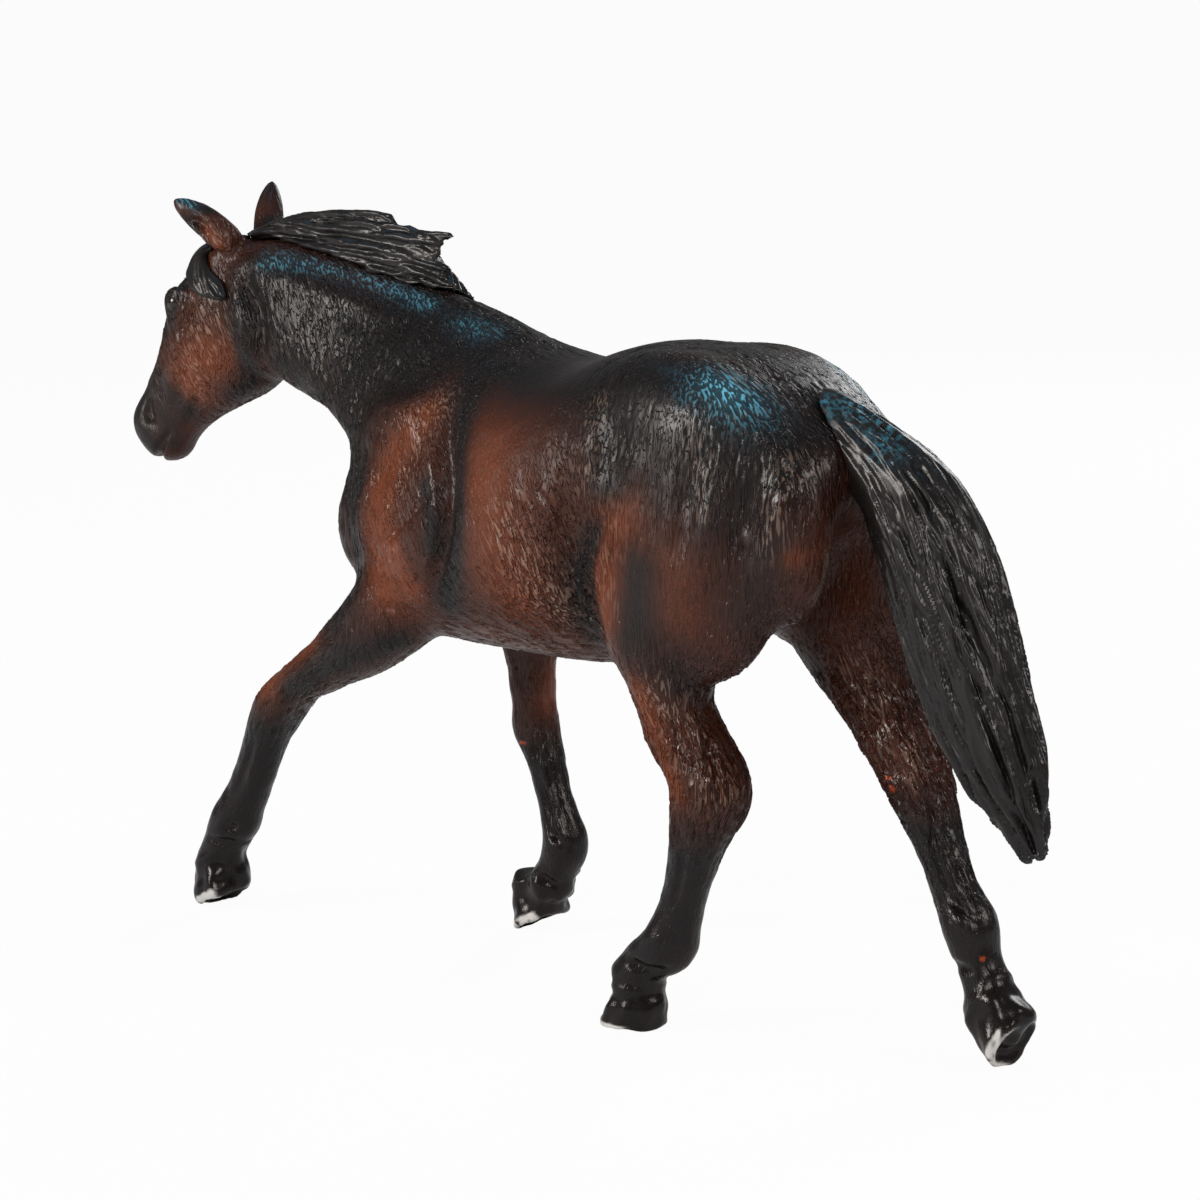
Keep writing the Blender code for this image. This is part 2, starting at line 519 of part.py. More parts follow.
def evaluated(obj):
    """The object's mesh with its modifiers applied, as a mesh of its own."""
    bpy.context.view_layer.update()
    graph = bpy.context.evaluated_depsgraph_get()
    return bpy.data.meshes.new_from_object(obj.evaluated_get(graph))


def fused(obj, voxel, relax, factor=0.5):
    """Melts the overlapping bodies of an object into one skin and relaxes their creases."""
    remesh = obj.modifiers.new("melt", "REMESH")
    remesh.mode = "VOXEL"
    remesh.voxel_size = voxel
    smooth = obj.modifiers.new("relax", "SMOOTH")
    smooth.factor = factor
    smooth.iterations = relax
    mesh = evaluated(obj)
    obj.modifiers.clear()
    obj.data = mesh
    return obj


def decimated(obj, triangles):
    """Thins the skin out to about the given number of triangles."""
    thin = obj.modifiers.new("thin", "DECIMATE")
    obj.data.calc_loop_triangles()
    thin.ratio = triangles / len(obj.data.loop_triangles)
    mesh = evaluated(obj)
    obj.modifiers.clear()
    obj.data = mesh
    return obj


def cut(obj, cutter, operation="DIFFERENCE"):
    """Cuts, joins or intersects the object with a cutter, which is used up."""
    cutter.hide_render = True
    cutter.display_type = "WIRE"
    change = obj.modifiers.new("cut", "BOOLEAN")
    change.operation = operation
    change.solver = "EXACT"
    change.object = cutter
    mesh = evaluated(obj)
    obj.modifiers.clear()
    obj.data = mesh
    bpy.data.objects.remove(cutter)
    return obj


def copy_of(obj, name):
    made = bpy.data.objects.new(name, obj.data.copy())
    bpy.context.scene.collection.objects.link(made)
    return made


def outset(obj):
    """A copy of the object grown by the glue gap."""
    grown = copy_of(obj, "grown")
    push = grown.modifiers.new("grow", "DISPLACE")
    push.mid_level = 0.0
    push.strength = GLUE_GAP
    mesh = evaluated(grown)
    grown.modifiers.clear()
    grown.data = mesh
    return grown


def largest_island(obj):
    """Drops the crumbs that a cut leaves beside the main body."""
    bm = bmesh.new()
    bm.from_mesh(obj.data)
    left = set(bm.verts)
    islands = []
    while left:
        seed = left.pop()
        island = {seed}
        front = [seed]
        while front:
            vert = front.pop()
            for edge in vert.link_edges:
                other = edge.other_vert(vert)
                if other not in island:
                    island.add(other)
                    front.append(other)
        left -= island
        islands.append(island)
    islands.sort(key=len)
    for island in islands[:-1]:
        bmesh.ops.delete(bm, geom=list(island), context="VERTS")
    bmesh.ops.triangulate(bm, faces=bm.faces)
    bm.to_mesh(obj.data)
    bm.free()
    return obj


def pressed(obj, path, reach, depth):
    """Presses a soft hollow of the given depth into the skin along a path of points."""
    mesh = obj.data
    count = len(mesh.vertices)
    places = np.empty(count * 3)
    mesh.vertices.foreach_get("co", places)
    places = places.reshape(-1, 3)
    normals = np.empty(count * 3)
    mesh.vertex_normals.foreach_get("vector", normals)
    normals = normals.reshape(-1, 3)
    nearest = np.full(count, np.inf)
    passed = np.zeros(count)
    for step, (a, b) in enumerate(zip(path, path[1:])):
        run = b - a
        share = np.clip((places - a) @ run / (run @ run), 0.0, 1.0)
        away = np.linalg.norm(places - (a + share[:, None] * run), axis=1)
        passed = np.where(away < nearest, (step + share) / (len(path) - 1), passed)
        nearest = np.minimum(nearest, away)
    weight = np.clip(1.0 - (nearest / reach) ** 2, 0.0, 1.0) ** 2
    weight *= np.clip(4.0 * passed * (1.0 - passed) + 0.15, 0.0, 1.0)
    places -= normals * (weight * depth)[:, None]
    mesh.vertices.foreach_set("co", places.ravel())
    mesh.update()


def surface_path(obj, points, way):
    """Finds the skin under each point, looking from outside along the given way.

    A point that looks past the skin goes to the nearest place on it.
    """
    way = Vector(way)
    found = []
    for point in points:
        hit, place, normal, index = obj.ray_cast(point - way * 2 * TRUNK_LENGTH, way)
        if not hit:
            place = obj.closest_point_on_mesh(point)[1]
        found.append(place)
    return spline(found, 4)


def hollow_out(figure):
    for sides, reach, depth, points in HOLLOW_SHARES:
        for side in sides:
            path = surface_path(figure, [at(x, 0, z) for x, z in points], (0, -side, 0))
            pressed(figure, path, reach * HOLLOW_RADIUS, depth * HOLLOW_DEPTH)
    for end, reach, depth, levels in MIDDLE_HOLLOW_SHARES:
        path = surface_path(figure, [at(0, 0, z) for z in levels], (-end, 0, 0))
        pressed(figure, path, reach * HOLLOW_RADIUS, depth * HOLLOW_DEPTH)


def trunk_masses():
    """The barrel, neck and great muscles, melted together with wide hollows between them."""
    bm = bmesh.new()
    trunk = []
    for x, top, bottom, half, roundness, taper in TRUNK_SHARES:
        middle = (top + bottom) / 2
        reach = (top - bottom) / 2 * STANDING_HEIGHT
        trunk.append((*at(x, 0, middle), half * BARREL_WIDTH, reach, reach, roundness, taper))
    loft(bm, trunk, UPWARD)
    neck = [
        (*at(x, y, z), half * NECK_WIDTH, high * NECK_DEPTH, low * NECK_DEPTH, roundness, taper)
        for x, y, z, half, high, low, roundness, taper in NECK_SHARES
    ]
    loft(bm, neck, UPWARD)
    for side in (LEFT, RIGHT):
        for (x, y, z), radii, (roll, pitch, yaw) in MUSCLE_SHARES:
            ellipsoid(bm, at(x, side * y, z), at(*radii), (-side * roll, pitch, side * yaw))
        for place, radii, turn in THIGH_SHARES[side]:
            ellipsoid(bm, at(*place), at(*radii), turn)
    for name in LIMB_SHARES:
        limb_form(bm, name, slice(0, ROOT_ROWS))
    return fused(new_object("trunk_masses", bm), MASS_VOXEL, 12)


def limb_form(bm, name, rows, root=1.0):
    """Lofts the given rows of a limb's table, with the first section drawn in by root."""
    stations = []
    for x, y, z, half, front, back, roundness, taper in LIMB_SHARES[name][rows]:
        sizes = [half * LIMB_WIDTH, front * LIMB_DEPTH, back * LIMB_DEPTH]
        if not stations:
            sizes = [size * root for size in sizes]
        stations.append((*at(x, y, z), *sizes, roundness, taper))
    loft(bm, stations, FORWARD)


def hoof_form(bm, name):
    """A hoof: rings from the sole up to the coronet, tipped about the toe."""
    (x, y), lift = HOOF_PLACE_SHARES[name]
    toe = at(x, y, 0) - Vector(UPWARD) * SOLE_TRIM
    tip = Matrix.Rotation(-math.radians(lift), 3, "Y")
    rings = []
    for level, front, back, half in HOOF_RING_SHARES:
        middle = (front + back) / 2 * HOOF_LENGTH
        reach = (back - front) / 2 * HOOF_LENGTH
        ring = []
        for across, along in oval(half * HOOF_WIDTH, reach, reach, 2.3, 0.0):
            slope = 1.0 - HEEL_DROP_SHARE * (along / reach) * level
            local = Vector((middle + along, across, level * slope * HOOF_HEIGHT))
            ring.append(toe + tip @ local)
        rings.append(ring)
    tube(bm, rings)


def head_frame():
    """The poll, and the ways down the face, out of the forehead and across the head."""
    ahead = Vector((-math.cos(HEAD_YAW), -math.sin(HEAD_YAW), 0.0))
    up = Vector(UPWARD)
    down_face = ahead * math.sin(HEAD_PITCH) - up * math.cos(HEAD_PITCH)
    outward = ahead * math.cos(HEAD_PITCH) + up * math.sin(HEAD_PITCH)
    return at(*POLL_SHARES), down_face, outward, down_face.cross(outward)


def on_head(down, out, over):
    """A place on the head in shares of its length, depth and width."""
    poll, down_face, outward, across_head = head_frame()
    place = poll + down_face * down * HEAD_LENGTH + outward * out * HEAD_DEPTH
    return place + across_head * over * HEAD_WIDTH


def head_form(bm):
    poll, down_face, outward, across_head = head_frame()
    rings = []
    for along, front, jaw, half, roundness, taper in spline(HEAD_SHARES, 4):
        place = poll + down_face * along * HEAD_LENGTH
        section = oval(half * HEAD_WIDTH, front * HEAD_DEPTH, jaw * HEAD_DEPTH, roundness, taper)
        rings.append([place + across_head * a + outward * b for a, b in section])
    tube(bm, rings)
    for side in (LEFT, RIGHT):
        for down, out, over, radius, flat in FEATURE_SHARES:
            centre = on_head(down, out, side * over)
            spin = Matrix((down_face, across_head, outward)).transposed().to_4x4()
            shape = Matrix.Diagonal((radius, radius * flat, radius, 1.0))
            matrix = Matrix.Translation(centre) @ spin @ shape
            bmesh.ops.create_icosphere(bm, subdivisions=3, radius=1.0, matrix=matrix)


def ear_form(bm, side):
    """A leaf-shaped ear, flat towards its opening."""
    (down, out, over), (fall, lift, spread), twist = EAR_PLACE_SHARES[side]
    poll, down_face, outward, across_head = head_frame()
    base = on_head(down, out, over)
    way = (down_face * fall + outward * lift + across_head * spread).normalized()
    facing = Matrix.Rotation(math.radians(twist), 3, way) @ across_head
    broad = way.cross(facing).normalized()
    thin = broad.cross(way)
    rings = []
    for along, half, depth in spline(EAR_SHARES, 3):
        place = base + way * along * EAR_LENGTH
        section = oval(half * EAR_WIDTH, depth * EAR_WIDTH, depth * EAR_WIDTH, 2.0, 0.0, 16)
        rings.append([place + broad * a + thin * b for a, b in section])
    tube(bm, rings)


def figure_form():
    """The whole bare horse as one skin, before it is parted into castings."""
    masses = trunk_masses()
    bm = bmesh.new()
    bm.from_mesh(masses.data)
    bpy.data.objects.remove(masses)
    for name in LIMB_SHARES:
        limb_form(bm, name, slice(ROOT_ROWS - 2, None), ROOT_SHARE)
        hoof_form(bm, name)
    head_form(bm)
    for side in EAR_PLACE_SHARES:
        ear_form(bm, side)
    return fused(new_object("figure", bm), FORM_VOXEL, 6)


def tail_lock(turn, twist, end):
    """Stations of one thick lock that winds along the tail and tapers to its own tip."""
    rows = spline(TAIL_SHARES, 2)
    rows = rows[:round(end * (len(rows) - 1)) + 1]
    places = [at(*row[:3]) for row in rows]
    stations = []
    for step, (row, tangent) in enumerate(zip(rows, np.gradient(np.array(places), axis=0))):
        passed = step / (len(rows) - 1)
        wave = LOCK_WAVE_SHARE * math.sin(2 * math.pi * (LOCK_WAVES * passed + turn))
        angle = 2 * math.pi * (turn + twist * passed + wave)
        rise = Vector(tangent).normalized().cross(Vector(SIDEWAYS))
        if rise.z < 0:
            rise.negate()
        half = row[3] * TAIL_WIDTH
        high = row[4 if math.sin(angle) > 0 else 5] * TAIL_DEPTH
        place = places[step] + Vector(SIDEWAYS) * half * TAIL_LOCK_OUT_SHARE * math.cos(angle)
        place += rise * high * TAIL_LOCK_OUT_SHARE * math.sin(angle)
        size = TAIL_LOCK_SIZE_SHARE * min(1.0, (1.0 - passed) / LOCK_TIP_SHARE + 0.15)
        stations.append((*place, half * size, high * size, high * size, 2.0, 0.0))
    return stations


def tail_form():
    """A core with thick locks round it, which leaves long grooves and a ragged tip."""
    bm = bmesh.new()
    core = TAIL_CORE_SHARE
    stations = [
        (*at(x, y, z), core * half * TAIL_WIDTH, core * high * TAIL_DEPTH, core * low * TAIL_DEPTH,
         roundness, taper)
        for x, y, z, half, high, low, roundness, taper in TAIL_SHARES
    ]
    loft(bm, stations, UPWARD)
    for turn, twist, end in TAIL_LOCK_SHARES:
        loft(bm, tail_lock(turn, twist, end), UPWARD, 2)
    return fused(new_object("tail", bm), HAIR_VOXEL, 2)


def mane_form():
    """A crest of hair that streams back from the neck in locks and falls over its right side."""
    rows = spline(MANE_SHARES, 4)
    places = [at(*row[:3]) for row in rows]
    along = np.gradient(np.array(places), axis=0)
    rings = []
    for row, place, tangent in zip(rows, places, along):
        tangent = Vector(tangent).normalized()
        across = Vector(SIDEWAYS)
        across = (across - tangent * across.dot(tangent)).normalized()
        rise = tangent.cross(across)
        if rise.z < 0:
            rise.negate()
        height, fall, spread = row[3:6]
        ring = []
        for a, b in MANE_SECTION_SHARES:
            level = b * (height if b > 0 else fall) * MANE_HEIGHT
            ring.append(place + across * a * spread * MANE_WIDTH + rise * level)
        rings.append(ring)
    bm = bmesh.new()
    tube(bm, rings)
    for lock in MANE_LOCK_SHARES:
        stations = [
            (*at(x, y, z), thick * MANE_WIDTH, high * MANE_HEIGHT, high * MANE_HEIGHT, 2.0, 0.0)
            for x, y, z, thick, high in lock
        ]
        loft(bm, stations, UPWARD)
    return fused(new_object("mane", bm), HAIR_VOXEL, 2)


def forelock_form():
    """A flat lock that lies over the left of the forehead."""
    poll, down_face, outward, across_head = head_frame()
    rows = spline(FORELOCK_SHARES, 4)
    places = [on_head(*row[:3]) for row in rows]
    along = np.gradient(np.array(places), axis=0)
    middle = on_head(*SKULL_MIDDLE_SHARES)
    rings = []
    for row, place, tangent in zip(rows, places, along):
        tangent = Vector(tangent).normalized()
        rise = place - middle
        rise = (rise - tangent * rise.dot(tangent)).normalized()
        across = tangent.cross(rise)
        half = row[3] * FORELOCK_WIDTH
        thick = row[4] * FORELOCK_DEPTH
        section = oval(half, thick, thick, 2.0, 0.0, 16)
        rings.append([place + across * a + rise * b for a, b in section])
    bm = bmesh.new()
    tube(bm, rings)
    return fused(new_object("forelock", bm), HAIR_VOXEL, 2)


def prism(name, grow):
    """The block that parts one casting from the torso, grown past its seam by grow."""
    inner, outer, first, second, rest = SEAM_SHARES[name]
    seam = [at(x, 0, z) for x, z in (first, second)]
    others = [at(x, 0, z) for x, z in rest]
    run = (seam[1] - seam[0]).normalized()
    normal = Vector((-run.z, 0.0, run.x))
    if normal.dot(seam[0] - sum(others, Vector()) / len(others)) < 0:
        normal.negate()
    outline = [point + normal * grow for point in seam] + others
    inward = -grow if outer > inner else grow
    near = inner * BARREL_WIDTH + inward
    far = outer * BARREL_WIDTH
    bm = bmesh.new()
    rings = []
    for level in (near, far):
        rings.append([Vector((point.x, level, point.z)) for point in outline])
    tube(bm, rings)
    return new_object("prism", bm)


def spigot(name, grow):
    """The round peg of a casting, or with grow the socket it seats in."""
    place, way, thickness = SPIGOT_SHARES[name]
    way = Vector(way).normalized()
    length = thickness * SPIGOT_LENGTH + grow
    start = at(*place) - way * OVERRUN
    turn = Vector(UPWARD).rotation_difference(way).to_matrix().to_4x4()
    centre = start + way * (length + OVERRUN) / 2
    bm = bmesh.new()
    bmesh.ops.create_cone(
        bm, cap_ends=True, segments=24, depth=length + OVERRUN,
        radius1=thickness * SPIGOT_RADIUS + grow, radius2=thickness * SPIGOT_RADIUS + grow,
        matrix=Matrix.Translation(centre) @ turn,
    )
    return new_object("spigot", bm)


def ground_block():
    """The block below the ground that trims the soles flat."""
    bm = bmesh.new()
    bmesh.ops.create_cube(bm, size=1.0)
    deep = STANDING_HEIGHT / 2
    bmesh.ops.scale(bm, verts=bm.verts, vec=(4 * TRUNK_LENGTH, 4 * BARREL_WIDTH, deep))
    bmesh.ops.translate(bm, verts=bm.verts, vec=(0, 0, -deep / 2))
    return new_object("ground", bm)


def part_castings(figure):
    """Parts the skin into torso, head and limbs and returns them by name."""
    castings = {}
    whole = copy_of(figure, "whole")
    for name in SEAM_SHARES:
        piece = copy_of(whole, name)
        cut(piece, prism(name, 0.0), "INTERSECT")
        castings[name] = largest_island(piece)
        cut(figure, prism(name, GLUE_GAP))
    figure.name = "torso"
    castings["torso"] = largest_island(figure)
    bpy.data.objects.remove(whole)
    for name, piece in castings.items():
        decimated(piece, TRIANGLES[name])
    return castings


def centred(castings):
    """Moves the figure so that the middle of its footprint is the origin."""
    corners = [Vector(corner) for piece in castings for corner in piece.bound_box]
    low = Vector([min(corner[axis] for corner in corners) for axis in range(3)])
    high = Vector([max(corner[axis] for corner in corners) for axis in range(3)])
    middle = (low + high) / 2
    for piece in castings:
        piece.data.transform(Matrix.Translation((-middle.x, -middle.y, 0.0)))


def material(name, colour, roughness):
    made = bpy.data.materials.new(name)
    made.use_nodes = True
    shader = made.node_tree.nodes["Principled BSDF"]
    shader.inputs["Base Color"].default_value = (*colour, 1.0)
    shader.inputs["Roughness"].default_value = roughness
    shader.inputs["Metallic"].default_value = 0.0
    return made


def main():
    for obj in list(bpy.data.objects):
        bpy.data.objects.remove(obj)
    figure = figure_form()
    hollow_out(figure)
    decimated(figure, SKIN_TRIANGLES)
    cut(figure, ground_block())
    hair = {"tail": tail_form(), "mane": mane_form(), "forelock": forelock_form()}
    for name, lock in hair.items():
        decimated(lock, TRIANGLES[name])
        cut(lock, outset(figure))
        largest_island(lock)
    cut(hair["mane"], outset(hair["forelock"]))
    castings = part_castings(figure)
    castings.update(hair)
    hosts = {"forelock": "head"}
    for name in SPIGOT_SHARES:
        cut(castings[name], spigot(name, 0.0), "UNION")
        cut(castings[hosts.get(name, "torso")], spigot(name, GLUE_GAP))
    for name, casting in castings.items():
        largest_island(casting)
        colour = HAIR_COLOUR if name in hair else COAT_COLOUR
        casting.data.materials.clear()
        casting.data.materials.append(material(name + "_vinyl", colour, ROUGHNESS))
        casting.data.shade_smooth()
        casting.data.set_sharp_from_angle(angle=SHARP_ANGLE)
    centred(castings.values())


main()
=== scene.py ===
"""Looks of the toy farm horse: a moulded vinyl figure with an airbrushed bay coat.

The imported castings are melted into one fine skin, which is smoothed, sculpted with muscle edges,
tendons, lips and hooves, and cut with fur strokes that follow the lie of the coat. The skin is
then parted again into the same castings. Paint goes on as soft sprayed strokes, each a mask on
the skin that the materials read. The horse faces -X, its left side faces -Y, it stands on Z = 0.
"""
import math

import bmesh
import bpy
import numpy as np
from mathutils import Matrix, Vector
from mathutils.bvhtree import BVHTree
from mathutils.kdtree import KDTree


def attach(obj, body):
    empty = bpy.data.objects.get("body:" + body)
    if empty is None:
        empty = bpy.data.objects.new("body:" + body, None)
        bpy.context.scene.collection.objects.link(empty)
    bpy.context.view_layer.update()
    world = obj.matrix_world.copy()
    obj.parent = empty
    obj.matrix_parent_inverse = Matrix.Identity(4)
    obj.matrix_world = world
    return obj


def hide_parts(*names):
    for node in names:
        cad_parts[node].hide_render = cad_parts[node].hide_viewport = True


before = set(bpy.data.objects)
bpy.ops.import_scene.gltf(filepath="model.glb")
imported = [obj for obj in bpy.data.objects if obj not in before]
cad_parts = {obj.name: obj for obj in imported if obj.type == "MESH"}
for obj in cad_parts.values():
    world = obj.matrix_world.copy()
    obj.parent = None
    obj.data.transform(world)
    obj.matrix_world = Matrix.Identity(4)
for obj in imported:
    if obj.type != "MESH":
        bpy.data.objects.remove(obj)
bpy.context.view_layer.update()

MM = 0.001

# Places on the horse are shares of these, measured from the middle of its trunk
TRUNK_LENGTH = 88.0 * MM
BARREL_WIDTH = 37.0 * MM
STANDING_HEIGHT = 88.0 * MM
TRUNK_MIDDLE = 8.74 * MM

COAT_NODES = ("torso", "head", "left_foreleg", "right_foreleg", "left_hind_leg", "right_hind_leg")
HAIR_NODES = ("mane", "forelock", "tail")

# Fineness of the skins, and how far the castings grow so that their glued gaps close
COAT_VOXEL = 0.32 * MM
HAIR_VOXEL = 0.26 * MM
CLOSING_GROWTH = 0.22 * MM
# Rounds of smoothing: of every melted skin, then of the coat, its trunk and the hair, of the border
# between trunk and limbs, and of the coat once it is sculpted
MELT_ROUNDS = 4
COAT_ROUNDS, TRUNK_ROUNDS, HAIR_ROUNDS = 8, 30, 10
BORDER_ROUNDS = 12
SCULPTED_ROUNDS = 2
# Where the trunk's skin is parted in two, so that neither sheet is too heavy
TRUNK_PARTING_SHARE = -0.06

# Fur strokes cut into the coat, the short ones and then the long ones: how many are tried,
# length, half width and depth in millimetres, and how deep the coat has to be cut where they start
FUR_LEVELS = ((14000, 2.6, 0.30, 0.15, 0.05), (9000, 6.0, 0.40, 0.17, 1.35))
# Length of the steps in which a fur stroke is drawn, and how much it sways
FUR_STEP, FUR_SWAY = 0.8 * MM, 0.22
# Where strokes cross they go no deeper, and their banks stand no higher, than these
FUR_DEPTH = 0.15 * MM
DEEPEST_FUR = 2.2 * FUR_DEPTH
HIGHEST_FUR = 1.2 * FUR_DEPTH

# The finest strokes are only in the paint's relief. The mould's are finer still, but would not
# show, so these are as wide as they need to be. The leans are in degrees from straight down
FINE_FUR_WIDTH = 0.30 * MM
FINE_FUR_LENGTH = 2.0 * MM
FINE_FUR_RELIEF = 0.19 * MM
FINE_FUR_LEANS = (-90, -60, -30, 0, 30, 60, 90)

# Strands cut into the hair, coarse to fine: strokes to a square millimetre, length, half width
# and depth in millimetres
STRAND_LEVELS = ((0.008, 26.0, 0.90, 0.55), (0.06, 14.0, 0.55, 0.38), (0.20, 8.0, 0.34, 0.22))
STRAND_STEP, STRAND_SWAY = 1.2 * MM, 0.16
# How much of a lock's thickness a strand's cut may take
DEEPEST_CUT_SHARE = 0.30

# The head's own frame and size, as in the model
HEAD_LENGTH = 36.6 * MM
HEAD_DEPTH = 17.6 * MM
HEAD_WIDTH = 11.6 * MM
HEAD_PITCH = math.radians(34.5)
HEAD_YAW = math.radians(8.0)
POLL_SHARES = (-0.732, -0.119, 1.040)
EYE_SHARES = (0.318, 0.262, 0.375)
EYEBALL_RADIUS = 1.74 * MM

# The hooves' size, and how much of their soles is cut away below the ground
HOOF_LENGTH = 8.4 * MM
HOOF_WIDTH = 8.0 * MM
HOOF_HEIGHT = 5.6 * MM
SOLE_TRIM = 0.5 * MM
# How much the glossy paint and the hooves are uneven
DENT_DEPTH = 0.15 * MM
# Where each toe meets the ground, and how far the heel is lifted, in degrees
HOOF_PLACE_SHARES = {
    "left_foreleg": ((-0.782, -0.305), 26.0),
    "right_foreleg": ((-0.322, 0.325), 26.0),
    "left_hind_leg": ((0.126, -0.280), 0.0),
    "right_hind_leg": ((0.662, 0.225), 62.0),
}
# How high the black of each leg reaches, and how softly it ends
STOCKING_FADE = 7.0 * MM
STOCKING_SHARES = {
    "left_foreleg": 0.345, "right_foreleg": 0.325, "left_hind_leg": 0.300, "right_hind_leg": 0.345,
}

LEFT, RIGHT = -1, 1
BOTH = (LEFT, RIGHT)

# The lie of the coat seen from the side: x, z, the way the hair runs, and how deep it is cut
COAT_FLOW_SHARES = (
    (-0.80, 0.86, 0.30, -0.95, 1.00), (-0.90, 0.76, 0.50, -0.85, 0.12),
    (-0.77, 1.09, 0.60, -0.80, 0.05), (-0.72, 1.02, 0.45, -0.90, 0.90),
    (-0.66, 0.96, 0.40, -1.00, 1.00),
    (-0.57, 0.92, 0.35, -1.00, 1.10), (-0.50, 0.84, 0.35, -1.00, 1.10),
    (-0.42, 0.90, 0.25, -1.00, 1.10), (-0.40, 0.77, 0.18, -1.00, 1.00),
    (-0.30, 0.90, 0.18, -1.00, 1.00), (-0.45, 0.65, 0.15, -1.00, 0.60),
    (-0.27, 0.76, 0.28, -0.95, 1.10), (-0.31, 0.66, 0.25, -0.95, 1.00),
    (-0.30, 0.57, 0.40, -0.90, 0.80), (-0.18, 0.88, 0.25, -1.00, 0.70),
    (-0.18, 0.68, 0.55, -0.85, 1.20), (-0.08, 0.80, 0.30, -0.95, 0.10),
    (-0.05, 0.70, 0.55, -0.85, 0.30), (0.02, 0.60, 0.62, -0.80, 1.50),
    (0.04, 0.86, 0.25, -1.00, 0.10), (0.07, 0.66, 0.62, -0.80, 1.80),
    (0.13, 0.72, 0.45, -0.90, 1.50), (0.15, 0.82, 0.30, -0.95, 0.80),
    (0.21, 0.74, -0.15, -1.00, 0.60), (0.20, 0.86, -0.10, -1.00, 0.40),
    (-0.10, 0.50, 0.92, -0.30, 0.90), (0.08, 0.51, 0.92, -0.30, 0.90),
    (0.26, 0.90, 0.05, -1.00, 0.50), (0.40, 0.86, 0.10, -1.00, 0.70),
    (0.30, 0.76, 0.06, -1.00, 0.60), (0.43, 0.74, -0.18, -1.00, 0.70),
    (0.24, 0.61, 0.15, -1.00, 0.12), (0.35, 0.62, 0.05, -1.00, 0.40),
    (0.27, 0.50, 0.30, -1.00, 1.20), (0.31, 0.40, 0.30, -1.00, 2.00),
    (0.31, 0.33, -0.20, -1.00, 1.10), (0.28, 0.22, -0.30, -1.00, 0.20),
    (0.22, 0.10, -0.60, -0.80, 0.10), (0.43, 0.50, 0.60, -0.80, 1.60),
    (0.48, 0.40, 0.55, -0.85, 2.00), (0.55, 0.28, 0.45, -0.90, 0.80),
    (0.62, 0.15, 0.30, -0.95, 0.15), (-0.45, 0.46, -0.80, -0.55, 0.90),
    (-0.56, 0.37, -0.60, -0.80, 0.80), (-0.64, 0.25, -0.45, -0.90, 0.20),
    (-0.72, 0.14, -0.45, -0.90, 0.10), (-0.29, 0.45, 0.05, -1.00, 0.60),
    (-0.27, 0.33, 0.10, -1.00, 0.60), (-0.24, 0.20, 0.15, -1.00, 0.15),
)
TAIL_FLOW_SHARES = (
    (0.42, 0.870, 0.80, -0.35, 0.6), (0.50, 0.830, 0.70, -0.60, 0.8),
    (0.565, 0.762, 0.55, -0.75, 1.0), (0.612, 0.683, 0.45, -0.85, 1.0),
    (0.652, 0.597, 0.40, -0.90, 1.0), (0.692, 0.508, 0.42, -0.90, 1.0),
    (0.731, 0.426, 0.45, -0.88, 1.0), (0.766, 0.364, 0.50, -0.85, 1.0),
)
MANE_FLOW_SHARES = (
    (-0.72, 1.06, 0.98, 0.05, 0.8), (-0.62, 1.07, 0.98, 0.06, 1.0),
    (-0.50, 1.08, 0.97, 0.02, 1.0), (-0.42, 1.06, 0.95, -0.10, 1.0),
    (-0.62, 1.00, 0.95, -0.25, 1.0), (-0.50, 0.97, 0.93, -0.32, 1.0),
    (-0.36, 0.95, 0.93, -0.35, 1.0), (-0.20, 0.93, 0.95, -0.25, 0.6),
)
FORELOCK_FLOW_SHARES = (
    (-0.78, 1.05, -0.50, -0.85, 0.5), (-0.80, 1.01, 0.20, -1.00, 0.4),
    (-0.775, 0.995, 0.85, -0.50, 0.8), (-0.73, 0.975, 0.90, -0.40, 0.8),
)
# How far round itself such a guide of the coat's or the hair's lie reaches
FLOW_REACH = 6.0 * MM


def at(x, y, z):
    """A place from shares of the trunk length, the barrel width and the standing height."""
    return np.array((TRUNK_MIDDLE + x * TRUNK_LENGTH, y * BARREL_WIDTH, z * STANDING_HEIGHT))


def from_side(x, z):
    """The same in the side view alone."""
    return np.array((TRUNK_MIDDLE + x * TRUNK_LENGTH, z * STANDING_HEIGHT))


def spline(rows, count):
    """A smooth curve through rows of numbers, with count steps between each two."""
    rows = np.array(rows, float)
    padded = np.vstack([2 * rows[0] - rows[1], rows, 2 * rows[-1] - rows[-2]])
    out = []
    for a, b, c, d in zip(padded, padded[1:], padded[2:], padded[3:]):
        for step in range(count):
            t = step / count
            out.append(
                0.5 * (2 * b + (c - a) * t + (2 * a - 5 * b + 4 * c - d) * t**2
                       + (3 * b - a - 3 * c + d) * t**3)
            )
    out.append(rows[-1])
    return np.array(out)


def unit(vectors):
    """Vectors scaled to length one."""
    length = np.linalg.norm(vectors, axis=-1, keepdims=True)
    return vectors / np.maximum(length, 1e-12)


def new_object(name, data):
    made = bpy.data.objects.new(name, data)
    bpy.context.scene.collection.objects.link(made)
    return made


def evaluated(obj):
    """The object's mesh with its modifiers applied, as a mesh of its own."""
    bpy.context.view_layer.update()
    graph = bpy.context.evaluated_depsgraph_get()
    return bpy.data.meshes.new_from_object(obj.evaluated_get(graph))


